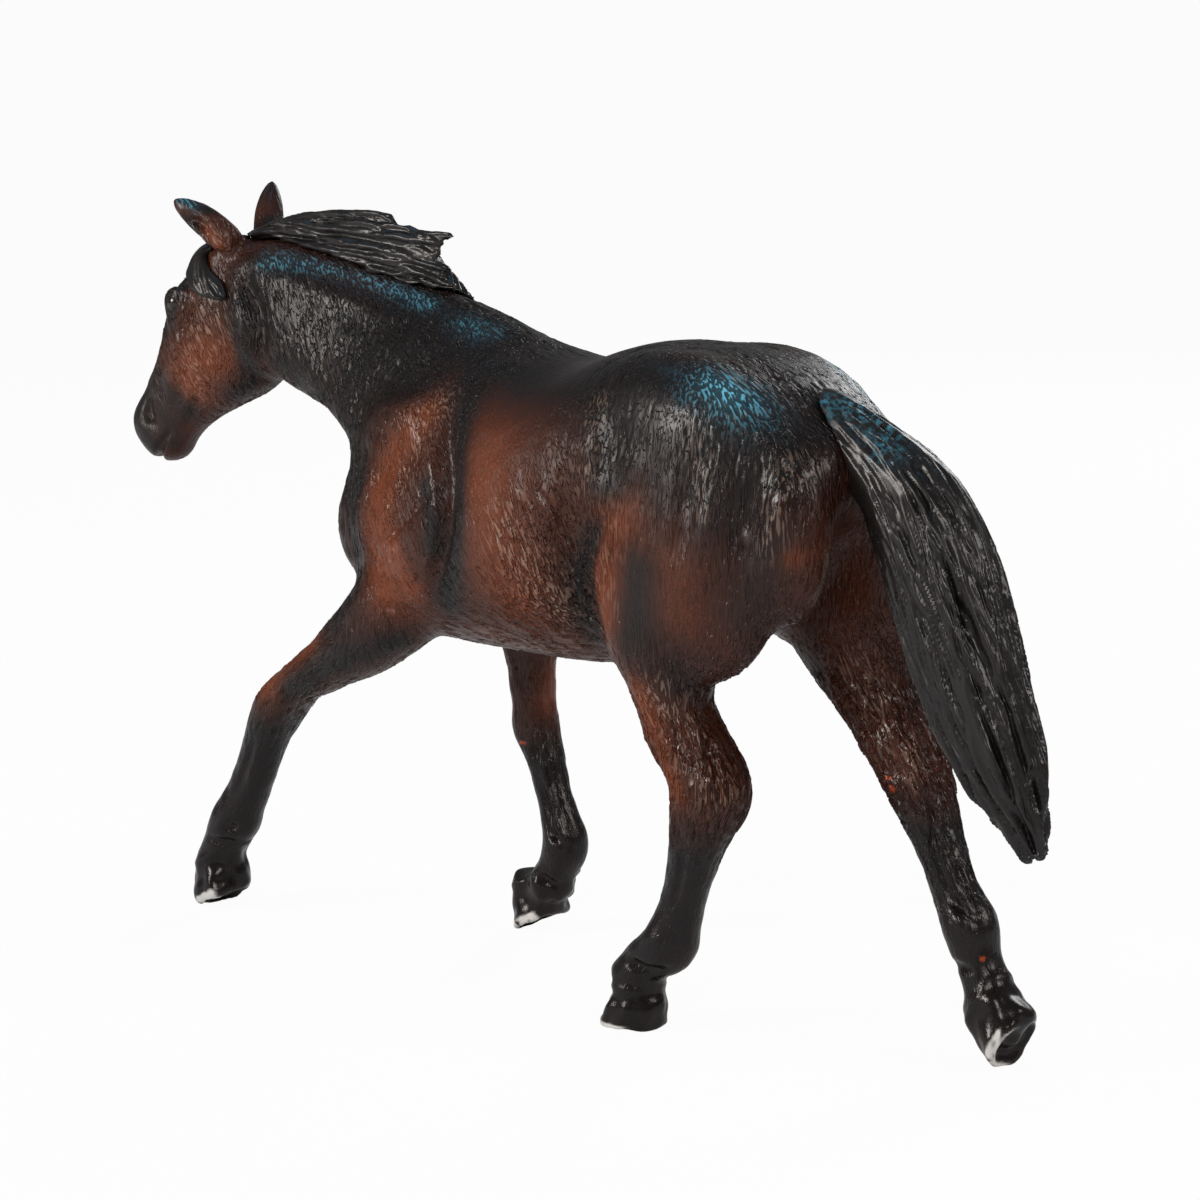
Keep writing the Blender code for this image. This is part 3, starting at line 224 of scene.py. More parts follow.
def neighbour_rings(count, quads):
    """Up to six neighbours of each vertex in one row, filled up with the vertex itself."""
    start = quads.ravel()
    end = np.roll(quads, -1, axis=1).ravel()
    order = np.argsort(start, kind="stable")
    start, end = start[order], end[order]
    rank = np.arange(len(start)) - np.searchsorted(start, np.arange(count))[start]
    rings = np.repeat(np.arange(count)[:, None], 6, axis=1)
    kept = rank < 6
    rings[start[kept], rank[kept]] = end[kept]
    return rings


def flooded(rings, seed):
    """Which vertices hang together with the seed."""
    reached = np.zeros(len(rings), bool)
    reached[seed] = True
    front = np.array([seed])
    while len(front):
        near = np.unique(rings[front])
        front = near[~reached[near]]
        reached[front] = True
    return reached


class Skin:
    """A fine closed mesh of quads as arrays, which the sculpting functions change."""

    def __init__(self, mesh):
        self.places = np.empty(len(mesh.vertices) * 3)
        mesh.vertices.foreach_get("co", self.places)
        self.places = self.places.reshape(-1, 3)
        quads = np.empty(len(mesh.loops), int)
        mesh.loops.foreach_get("vertex_index", quads)
        self.quads = quads.reshape(-1, 4)
        self.rings = neighbour_rings(len(self.places), self.quads)
        outer = flooded(self.rings, int(np.argmin(self.places[:, 2])))
        self.keep(outer)
        self.masks = {}

    def keep(self, kept):
        """Drops every vertex that isn't kept, such as the walls of inner voids."""
        number = np.cumsum(kept) - 1
        self.quads = number[self.quads[kept[self.quads].all(axis=1)]]
        self.places = self.places[kept]
        self.rings = neighbour_rings(len(self.places), self.quads)

    def normals(self):
        a = self.places[self.quads[:, 2]] - self.places[self.quads[:, 0]]
        b = self.places[self.quads[:, 3]] - self.places[self.quads[:, 1]]
        face = np.cross(a, b)
        total = np.zeros_like(self.places)
        for corner in range(4):
            for axis in range(3):
                total[:, axis] += np.bincount(
                    self.quads[:, corner], weights=face[:, axis], minlength=len(total)
                )
        return unit(total)

    def averaged(self, values):
        """Each vertex's mean over its neighbours."""
        total = values[self.rings[:, 0]]
        for k in range(1, self.rings.shape[1]):
            total = total + values[self.rings[:, k]]
        return total / self.rings.shape[1]

    def relax(self, rounds, weight=1.0):
        """Smooths the surface by weight from 0 to 1 at each vertex."""
        weight = np.broadcast_to(weight, len(self.places))[:, None]
        for _ in range(rounds):
            self.places += 0.7 * weight * (self.averaged(self.places) - self.places)

    def blurred(self, values, rounds):
        for _ in range(rounds):
            values = self.averaged(values)
        return values

    def plant(self):
        """Builds the search trees that strokes and paths use."""
        self.tree = KDTree(len(self.places))
        for index, place in enumerate(self.places.tolist()):
            self.tree.insert(place, index)
        self.tree.balance()
        self.hull = BVHTree.FromPolygons(self.places.tolist(), self.quads.tolist())
        self.facing = self.normals()

    def within(self, points, reach):
        """The vertices near any of the points."""
        found = set()
        for point in points:
            found.update(hit[1] for hit in self.tree.find_range(point, reach))
        return np.fromiter(found, int, len(found))


def melted(nodes, voxel):
    """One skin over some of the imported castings, with the glued gaps between them closed."""
    bm = bmesh.new()
    for name in nodes:
        bm.from_mesh(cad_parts[name].data)
    bmesh.ops.remove_doubles(bm, verts=bm.verts, dist=1e-6)
    mesh = bpy.data.meshes.new("melt")
    bm.to_mesh(mesh)
    bm.free()
    obj = new_object("melt", mesh)
    grow = obj.modifiers.new("grow", "DISPLACE")
    grow.mid_level = 0.0
    grow.strength = CLOSING_GROWTH
    remesh = obj.modifiers.new("melt", "REMESH")
    remesh.mode = "VOXEL"
    remesh.voxel_size = voxel
    skin = Skin(evaluated(obj))
    bpy.data.objects.remove(obj)
    skin.relax(MELT_ROUNDS)
    skin.places -= skin.normals() * CLOSING_GROWTH
    return skin


def away_from(places, path):
    """How far each place is from a path of points, and what share of the path is passed."""
    nearest = np.full(len(places), np.inf)
    passed = np.zeros(len(places))
    count = len(path) - 1
    for step, (a, b) in enumerate(zip(path, path[1:])):
        run = b - a
        share = np.clip((places - a) @ run / max(run @ run, 1e-18), 0.0, 1.0)
        away = np.linalg.norm(places - (a + share[:, None] * run), axis=1)
        passed = np.where(away < nearest, (step + share) / count, passed)
        nearest = np.minimum(nearest, away)
    return nearest, passed


def close_by(places, path, reach):
    """The indices of the places in the path's box grown by reach, their distance and share."""
    path = np.asarray(path)
    inside = (places > path.min(axis=0) - reach).all(axis=1)
    inside &= (places < path.max(axis=0) + reach).all(axis=1)
    near = np.flatnonzero(inside)
    return near, *away_from(places[near], path)


def dropped(skin, points, way, steps=4):
    """Drops points onto the skin from outside along a way and runs a smooth path through them.

    A point that passes the skin by goes to the nearest place on it.
    """
    way = Vector(way).normalized()
    found = []
    for point in points:
        hit = skin.hull.ray_cast(Vector(point) - way * TRUNK_LENGTH * 2, way)[0]
        found.append(hit or skin.hull.find_nearest(Vector(point))[0])
    return spline(found, steps) if len(found) > 1 else np.array([found[0], found[0]])


def side_path(skin, side, points, steps=4):
    """A path on one side of the horse through (x, z) shares."""
    return dropped(skin, [at(x, 0.0, z) for x, z in points], (0, -side, 0), steps)


def press(skin, path, reach, depth, fade=0.15):
    """Presses a soft groove into the skin along a path, or raises a ridge where depth is negative.

    Only the side of the skin that the path runs on moves.
    """
    near, away, passed = close_by(skin.places, path, reach)
    weight = np.clip(1.0 - (away / reach) ** 2, 0.0, 1.0) ** 2
    weight *= np.clip(4.0 * passed * (1.0 - passed) + fade, 0.0, 1.0)
    on_path = [skin.tree.find(point)[1] for point in path]
    weight *= np.clip(0.4 + 1.6 * skin.facing[near] @ skin.facing[on_path].mean(axis=0), 0.0, 1.0)
    skin.places[near] -= skin.facing[near] * (weight * depth)[:, None]


def head_frame():
    """The poll, and the ways down the face, out of the forehead and across the head."""
    ahead = np.array((-math.cos(HEAD_YAW), -math.sin(HEAD_YAW), 0.0))
    up = np.array((0.0, 0.0, 1.0))
    down_face = ahead * math.sin(HEAD_PITCH) - up * math.cos(HEAD_PITCH)
    outward = ahead * math.cos(HEAD_PITCH) + up * math.sin(HEAD_PITCH)
    return at(*POLL_SHARES), down_face, outward, np.cross(down_face, outward)


def on_head(down, out, over):
    """A place on the head in shares of its length, depth and width."""
    poll, down_face, outward, across = head_frame()
    place = poll + down_face * down * HEAD_LENGTH + outward * out * HEAD_DEPTH
    return place + across * over * HEAD_WIDTH


def folded(skin):
    """Presses the folds, ridges and tendons of the trunk and limbs."""
    for sides, reach, depth, points in FOLD_SHARES:
        for side in sides:
            press(skin, side_path(skin, side, points), reach * MM, depth * MM)


def laid(skin, path):
    """A path's points moved to the nearest places on the skin."""
    return [np.array(skin.hull.find_nearest(place)[0]) for place in path]


def featured(skin):
    """Cuts the lines of both sides of the face and of the left ear."""
    for reach, depth, points in HEAD_LINE_SHARES:
        for side in BOTH:
            path = [on_head(down, out, side * over) for down, out, over in points]
            press(skin, laid(skin, spline(path, 3)), reach * MM, depth * MM, 0.3)
    for reach, depth, points in EAR_LINE_SHARES:
        path = [on_head(*place) for place in spline(points, 3)]
        press(skin, laid(skin, path), reach * MM, depth * MM, 0.3)


def in_hoof(skin, name):
    """The vertices round a hoof and their places in its own frame: back, across and up."""
    (x, y), lift = HOOF_PLACE_SHARES[name]
    toe = at(x, y, 0.0) - (0.0, 0.0, SOLE_TRIM)
    near = np.flatnonzero(np.linalg.norm(skin.places - toe, axis=1) < 1.6 * HOOF_LENGTH)
    angle = math.radians(lift)
    back = np.array((math.cos(angle), 0.0, math.sin(angle)))
    up = np.array((-math.sin(angle), 0.0, math.cos(angle)))
    local = skin.places[near] - toe
    return near, local @ back, local[:, 1], local @ up, up


def shod(skin):
    """Hollows the soles, leaves the frog standing, rolls the coronet and marks the worn shoes."""
    noise = np.random.default_rng(5).random(len(skin.places))
    noise = skin.blurred(noise, 6)
    noise = (noise - noise.mean()) / noise.std()
    shoe = np.zeros(len(skin.places))
    hoof = np.zeros(len(skin.places))
    for name in HOOF_PLACE_SHARES:
        near, back, across, height, up = in_hoof(skin, name)
        run = back / HOOF_LENGTH
        round_share = np.hypot((run - 0.52) / 0.5, across / (0.5 * HOOF_WIDTH))
        low = np.clip(1.4 - height / (0.9 * MM), 0.0, 1.0)
        hollow = low * np.clip((0.80 - round_share) / 0.18, 0.0, 1.0)
        frog_half = np.clip((run - 0.30) * 0.42, 0.0, 0.30) * HOOF_WIDTH
        frog = np.clip(1.3 - np.abs(across) / np.maximum(frog_half, 1e-5), 0.0, 1.0)
        lift = hollow * (0.9 - 0.75 * frog) * MM
        skin.places[near] += lift[:, None] * up
        coronet = np.exp(-(((height - 1.02 * HOOF_HEIGHT) / (0.45 * MM)) ** 2))
        skin.places[near] += skin.facing[near] * (0.22 * MM * coronet)[:, None]
        # The worn shoe shows round the rim of the toe, towards the left and in ragged patches
        rim = np.clip(2.5 - height / (0.55 * MM), 0.0, 1.0)
        rim *= np.clip((round_share - 0.74) / 0.08, 0.0, 1.0)
        rim *= np.clip((0.86 - run) / 0.1, 0.0, 1.0)
        rim *= np.clip(0.8 - 3.0 * across / HOOF_WIDTH, 0.0, 1.0)
        worn = np.clip(rim * (1.5 + 0.9 * noise[near]) - 0.3, 0.0, 1.0)
        shoe[near] = np.maximum(shoe[near], worn)
        horn = np.clip((1.0 - height / HOOF_HEIGHT) * 6.0, 0.0, 1.0)
        hoof[near] = np.maximum(hoof[near], horn)
    skin.masks["shoe"] = shoe
    skin.masks["hoof"] = hoof


def dented(skin):
    """Leaves the glossy paint and the hooves a little uneven, as the mould does."""
    dents = skin.blurred(np.random.default_rng(9).random(len(skin.places)), 24)
    dents = (dents - dents.mean()) / dents.std()
    depth = (DENT_DEPTH * (0.5 * skin.masks["wet"] + skin.masks["hoof"])) * dents
    skin.places += skin.facing * depth[:, None]


def lie_of(skin, guides):
    """The way hair runs at each vertex, laid flat on the skin, and how deep it is cut."""
    side_view = skin.places[:, [0, 2]]
    total = np.zeros((len(side_view), 3))
    weights = np.zeros(len(side_view))
    for x, z, run_x, run_z, depth in guides:
        away = np.linalg.norm(side_view - from_side(x, z), axis=1)
        weight = np.exp(-((away / FLOW_REACH) ** 2)) + 1e-4 / (1e-3 + (away / MM) ** 2)
        total += weight[:, None] * np.array((run_x, run_z, depth))
        weights += weight
    total /= weights[:, None]
    ways = np.stack([total[:, 0], np.zeros(len(total)), total[:, 1]], axis=1)
    facing = skin.facing
    ways -= facing * (ways * facing).sum(axis=1, keepdims=True)
    return unit(ways), total[:, 2]


def traced(skin, ways, start, length, step, sway, draw):
    """A wandering path on the skin that follows the lie of the hair from a starting vertex."""
    path = [skin.places[start]]
    index = start
    swing = draw.uniform(-sway, sway)
    for _ in range(max(2, int(length / step))):
        swing = 0.7 * swing + draw.uniform(-sway, sway) * 0.6
        ahead = ways[index]
        aside = np.cross(skin.facing[index], ahead)
        goal = path[-1] + (ahead + aside * swing) * step
        _, index, away = skin.tree.find(goal)
        path.append(0.5 * (goal + skin.places[index]))
        if away > step:
            break
    return path


def stroke(skin, rise, path, half_width, depth):
    """Cuts one tapering stroke into the rise of the skin, with a slight burr on its banks."""
    near = skin.within(path, half_width * 2.2)
    if not len(near):
        return
    away, passed = away_from(skin.places[near], path)
    taper = np.clip(5.0 * passed * (1.0 - passed), 0.0, 1.0)
    reach = half_width * (0.45 + 0.55 * taper)
    cut = np.clip(1.0 - (away / reach) ** 2, 0.0, 1.0) ** 2
    burr = np.exp(-(((away - 1.35 * reach) / (0.5 * reach)) ** 2))
    rise[near] += taper * depth * (0.35 * burr - cut)


def furred(skin, draw):
    """Cuts the fur strokes of the coat, and notes their lean and depth for the finer ones."""
    ways, depths = lie_of(skin, COAT_FLOW_SHARES)
    depths = depths * (1.0 - skin.masks["hoof"])
    lean = np.degrees(np.arctan2(ways[:, 0], -ways[:, 2]))
    skin.masks["lean"] = (lean + 90.0) % 180.0 - 90.0
    skin.masks["fur"] = depths
    rise = np.zeros(len(skin.places))
    for count, length, half_width, deep, least in FUR_LEVELS:
        for start in draw.integers(0, len(skin.places), count):
            if depths[start] < least:
                continue
            depth = depths[start] * draw.uniform(0.5, 1.3) * deep * MM
            reach = length * draw.uniform(0.6, 1.4) * MM
            path = traced(skin, ways, start, reach, FUR_STEP, FUR_SWAY, draw)
            stroke(skin, rise, path, half_width * draw.uniform(0.7, 1.1) * MM, depth)
    rise = np.clip(rise, -DEEPEST_FUR, HIGHEST_FUR)
    skin.places += skin.facing * rise[:, None]
    skin.masks["cut"] = np.clip(-rise / FUR_DEPTH, 0.0, 1.5)


def stranded(skin, guides, draw):
    """Cuts long strands into a lock of hair, level by level from coarse to fine."""
    ways, depths = lie_of(skin, guides)
    area = len(skin.places) * (HAIR_VOXEL / MM) ** 2
    total = np.zeros(len(skin.places))
    for density, length, half_width, depth in STRAND_LEVELS:
        rise = np.zeros(len(skin.places))
        for start in draw.integers(0, len(skin.places), max(3, int(density * area))):
            reach = length * draw.uniform(0.5, 1.4) * MM
            path = traced(skin, ways, start, reach, STRAND_STEP, STRAND_SWAY, draw)
            deep = depth * draw.uniform(0.4, 1.3) * depths[start]
            stroke(skin, rise, path, half_width * draw.uniform(0.7, 1.2) * MM, deep * MM)
        total += np.clip(rise, -1.6 * depth * MM, 0.2 * depth * MM)
    # A cut takes a share of the lock's thickness at most, or thin tips would turn inside out
    for index in np.flatnonzero(total < -0.10 * MM):
        way = Vector(-skin.facing[index])
        far = skin.hull.ray_cast(Vector(skin.places[index]) + way * 0.05 * MM, way)[3]
        total[index] = max(total[index], -DEEPEST_CUT_SHARE * (far or TRUNK_LENGTH))
    skin.places += skin.facing * total[:, None]
    skin.masks["cut"] = np.clip(-total / (0.5 * MM), 0.0, 2.0)


def sprayed(skin, strokes):
    """How much of a sprayed colour each vertex gets from strokes given by side, reach, strength
    and (x, z) shares."""
    bare = np.ones(len(skin.places))
    for sides, reach, strength, points in strokes:
        for side in sides:
            path = side_path(skin, side, points, 2)
            near, away, _ = close_by(skin.places, path, 2.4 * reach * MM)
            bare[near] *= 1.0 - strength * np.exp(-((away / (reach * MM)) ** 2))
    return 1.0 - bare


# Black sprayed over the coat: sides, reach in millimetres, strength, and the stroke in shares
BLACK_SPRAY_SHARES = (
    # crest
    (BOTH, 6.0, 0.92, ((-0.66, 0.99), (-0.58, 0.98), (-0.48, 0.95), (-0.34, 0.92))),
    # edges of the ears
    (BOTH, 1.0, 0.95, ((-0.812, 1.125), (-0.770, 1.108), (-0.725, 1.088))),
    ((LEFT,), 1.2, 0.90, ((-0.830, 1.112), (-0.800, 1.088), (-0.775, 1.062))),
    ((RIGHT,), 2.2, 0.75, ((-0.780, 1.150), (-0.755, 1.115), (-0.740, 1.085))),
    # withers, back and croup
    (BOTH, 6.5, 0.97, ((-0.36, 0.93), (-0.20, 0.92), (-0.08, 0.90), (0.04, 0.895), (0.16, 0.92))),
    (BOTH, 8.0, 0.97, ((0.16, 0.92), (0.26, 0.91), (0.36, 0.89), (0.45, 0.84))),
    (BOTH, 5.0, 0.90, ((0.20, 0.955), (0.30, 0.955), (0.40, 0.93), (0.46, 0.89))),
    (BOTH, 6.0, 0.88, ((-0.36, 0.965), (-0.20, 0.950), (-0.05, 0.930), (0.10, 0.940),
                       (0.20, 0.955))),
    # neck
    (BOTH, 7.5, 0.93, ((-0.64, 0.95), (-0.56, 0.88), (-0.48, 0.83), (-0.42, 0.80))),
    (BOTH, 6.0, 0.92, ((-0.50, 0.92), (-0.40, 0.88), (-0.30, 0.88))),
    (BOTH, 3.5, 0.85, ((-0.42, 0.78), (-0.38, 0.73))),
    # breast
    (BOTH, 2.8, 0.85, ((-0.385, 0.72), (-0.385, 0.66), (-0.370, 0.60))),
    (BOTH, 5.4, 0.97, ((-0.44, 0.72), (-0.455, 0.66), (-0.44, 0.58), (-0.40, 0.53))),
    # band behind the shoulder
    (BOTH, 3.2, 0.98, ((-0.150, 0.88), (-0.128, 0.80), (-0.102, 0.72), (-0.108, 0.64),
                       (-0.14, 0.57))),
    # wedge between shoulder blade and triceps
    (BOTH, 1.9, 0.90, ((-0.175, 0.73), (-0.158, 0.69), (-0.155, 0.65))),
    # band down the flank
    (BOTH, 3.6, 0.97, ((0.200, 0.88), (0.198, 0.82), (0.194, 0.775))),
    (BOTH, 2.6, 0.88, ((0.165, 0.70), (0.140, 0.65), (0.128, 0.60), (0.130, 0.55))),
    # haunch
    (BOTH, 6.5, 0.92, ((0.24, 0.84), (0.32, 0.83), (0.42, 0.80))),
    (BOTH, 5.5, 0.70, ((0.36, 0.76), (0.43, 0.70), (0.42, 0.62))),
    (BOTH, 3.0, 0.60, ((0.29, 0.76), (0.27, 0.72))),
    # stifle
    (BOTH, 3.8, 0.88, ((0.250, 0.655), (0.242, 0.61), (0.240, 0.57))),
    # belly
    (BOTH, 5.0, 0.20, ((-0.12, 0.52), (0.00, 0.51), (0.10, 0.52))),
    # thigh from below and the back of the gaskins
    (BOTH, 4.0, 0.45, ((0.27, 0.55), (0.33, 0.54))),
    ((LEFT,), 2.6, 0.75, ((0.30, 0.51), (0.32, 0.47))),
    ((RIGHT,), 4.0, 0.60, ((0.38, 0.60), (0.44, 0.54), (0.47, 0.48))),
    # forearm from below and above the knee
    ((LEFT,), 2.8, 0.90, ((-0.28, 0.49), (-0.38, 0.455), (-0.46, 0.42), (-0.52, 0.385))),
    ((LEFT,), 2.2, 0.55, ((-0.36, 0.56), (-0.42, 0.525))),
    ((RIGHT,), 2.0, 0.55, ((-0.31, 0.50), (-0.31, 0.42), (-0.30, 0.36))),
    # muzzle and the side of the nose
    (BOTH, 3.0, 0.96, ((-0.965, 0.81), (-0.955, 0.77), (-0.935, 0.73))),
    (BOTH, 2.6, 0.80, ((-0.930, 0.855), (-0.885, 0.815), (-0.845, 0.785))),
    (BOTH, 2.6, 0.75, ((-0.935, 0.80), (-0.890, 0.765))),
    (BOTH, 2.0, 0.60, ((-0.890, 0.735), (-0.850, 0.735))),
    # forehead, eyes and throat
    (BOTH, 2.4, 0.80, ((-0.83, 1.00), (-0.865, 0.95), (-0.885, 0.92))),
    (BOTH, 1.9, 0.88, ((-0.835, 0.985), (-0.850, 0.955), (-0.855, 0.935))),
    (BOTH, 2.0, 0.80, ((-0.70, 0.95), (-0.69, 0.90), (-0.70, 0.85), (-0.74, 0.82))),
)
# Rust sprayed where the coat glows
RUST_SPRAY_SHARES = (
    # cheek and lower lip
    (BOTH, 4.0, 0.95, ((-0.75, 0.89), (-0.79, 0.87), (-0.82, 0.84))),
    (BOTH, 1.8, 0.35, ((-0.87, 0.74), (-0.84, 0.74))),
    # inside of the ears
    (BOTH, 1.0, 0.95, ((-0.765, 1.076), (-0.755, 1.066), (-0.743, 1.054))),
    # belly, where the rust stands in for the white floor's reflection, a painted reflection
    (BOTH, 4.0, 0.35, ((-0.12, 0.52), (0.00, 0.51), (0.08, 0.52))),
    # shoulder
    (BOTH, 3.2, 0.95, ((-0.22, 0.83), (-0.26, 0.78), (-0.30, 0.72))),
    (BOTH, 3.8, 1.00, ((-0.29, 0.70), (-0.30, 0.65), (-0.28, 0.58))),
    (BOTH, 2.6, 0.90, ((-0.25, 0.63), (-0.22, 0.58))),
    # ribs
    (BOTH, 6.5, 0.62, ((-0.04, 0.78), (-0.01, 0.71), (0.02, 0.63))),
    (BOTH, 3.5, 0.40, ((-0.05, 0.74), (-0.04, 0.64), (0.02, 0.58))),
    # thigh
    (BOTH, 3.8, 1.00, ((0.178, 0.59), (0.186, 0.66), (0.205, 0.715), (0.250, 0.725))),
    (BOTH, 3.6, 0.28, ((0.31, 0.66), (0.33, 0.60))),
    # forearms, buttocks and gaskins
    ((LEFT,), 3.0, 0.95, ((-0.58, 0.39), (-0.53, 0.43), (-0.47, 0.47))),
    ((RIGHT,), 2.6, 0.80, ((-0.26, 0.44), (-0.25, 0.37))),
    (BOTH, 1.3, 0.90, ((0.502, 0.81), (0.498, 0.75), (0.480, 0.69))),
    ((LEFT,), 2.2, 0.85, ((0.235, 0.49), (0.26, 0.43), (0.29, 0.36))),
    ((RIGHT,), 2.4, 0.75, ((0.40, 0.46), (0.45, 0.40), (0.49, 0.36))),
)
# Blue glints painted where an overhead blue light's reflection falls, a painted reflection: rump,
# crest, withers and ears, then the tail's root
BLUE_GLINT_SHARES = (
    (BOTH, 3.4, 0.50, ((0.330, 0.908), (0.370, 0.893), (0.385, 0.888))),
    (BOTH, 1.9, 0.95, ((0.345, 0.905), (0.365, 0.893))),
    (BOTH, 1.3, 0.38, ((-0.66, 1.030), (-0.60, 1.030), (-0.52, 1.022), (-0.42, 1.000),
                       (-0.33, 0.978))),
    (BOTH, 1.8, 0.24, ((-0.25, 0.955), (-0.19, 0.945))),
    (BOTH, 0.9, 0.40, ((-0.810, 1.122), (-0.785, 1.112))),
    ((RIGHT,), 0.9, 0.70, ((-0.770, 1.135), (-0.765, 1.120))),
)
# Painted reflection of the blue light on the top of the tail
HAIR_BLUE_GLINT_SHARES = (
    (BOTH, 2.0, 0.55, ((0.45, 0.885), (0.50, 0.870), (0.55, 0.835))),
)
# Where varnish stands wet on the coat. A strength below zero is where it has dried matt
WET_SHARES = (
    (BOTH, 5.0, -0.80, ((-0.05, 0.80), (0.05, 0.82), (0.12, 0.80))),
    (BOTH, 4.0, -0.60, ((0.24, 0.86), (0.27, 0.80), (0.28, 0.74))),
    (BOTH, 3.0, -0.80, ((-0.960, 0.81), (-0.950, 0.77))),
    (BOTH, 5.0, -0.40, ((-0.64, 0.98), (-0.60, 0.90), (-0.52, 0.84))),
    ((LEFT,), 3.4, 1.00, ((0.27, 0.49), (0.30, 0.44), (0.335, 0.40), (0.360, 0.36))),
    (BOTH, 3.4, 1.00, ((0.41, 0.52), (0.45, 0.46), (0.51, 0.40), (0.55, 0.39))),
    (BOTH, 2.6, 1.00, ((0.468, 0.81), (0.465, 0.75), (0.452, 0.69))),
    ((RIGHT,), 2.5, 0.80, ((-0.28, 0.43), (-0.27, 0.36))),
    (BOTH, 3.0, 0.80, ((-0.20, 0.76), (-0.22, 0.70), (-0.25, 0.64))),
    (BOTH, 5.0, 0.60, ((0.30, 0.90), (0.40, 0.87))),
)
# Painted highlights: light cream on the raised fur where the lamps' highlights fall
PAINTED_HIGHLIGHT_SHARES = (
    (BOTH, 3.6, 0.90, ((0.00, 0.70), (0.05, 0.64), (0.08, 0.59))),
    (BOTH, 1.8, 0.60, ((0.150, 0.87), (0.156, 0.82), (0.150, 0.77))),
    (BOTH, 3.0, 0.70, ((-0.20, 0.84), (-0.22, 0.77), (-0.24, 0.71))),
    # belly: painted highlights for the white floor's reflection
    (BOTH, 3.0, 0.50, ((-0.10, 0.51), (0.00, 0.505), (0.10, 0.51))),
    (BOTH, 5.0, 0.12, ((-0.60, 0.93), (-0.50, 0.86), (-0.42, 0.80))),
    (BOTH, 3.4, 0.75, ((-0.75, 0.95), (-0.78, 0.89), (-0.81, 0.85))),
    (BOTH, 1.2, 1.00, ((-0.768, 1.078), (-0.757, 1.068), (-0.742, 1.056))),
    (BOTH, 2.0, 0.60, ((0.468, 0.81), (0.465, 0.76), (0.452, 0.71))),
    (BOTH, 2.0, 0.50, ((0.335, 0.86), (0.350, 0.80), (0.345, 0.75))),
    (BOTH, 2.6, 0.40, ((0.20, 0.72), (0.19, 0.66), (0.19, 0.61))),
    ((LEFT,), 2.6, 0.80, ((0.27, 0.49), (0.29, 0.45), (0.32, 0.40), (0.36, 0.37))),
    (BOTH, 2.6, 0.45, ((0.42, 0.52), (0.46, 0.45), (0.52, 0.39))),
)
COAT_SPRAYS = {
    "black": BLACK_SPRAY_SHARES, "rust": RUST_SPRAY_SHARES, "wet": WET_SHARES,
    "fur_highlight": PAINTED_HIGHLIGHT_SHARES, "blue_glint": BLUE_GLINT_SHARES,
}
# Chips down to the orange vinyl: side, radius in millimetres, place in shares
CHIP_SHARES = (
    (LEFT, 0.26, (-0.276, 0.305)), (LEFT, 0.30, (0.492, 0.358)), (LEFT, 0.26, (0.487, 0.372)),
    (LEFT, 0.26, (0.641, 0.148)),
)

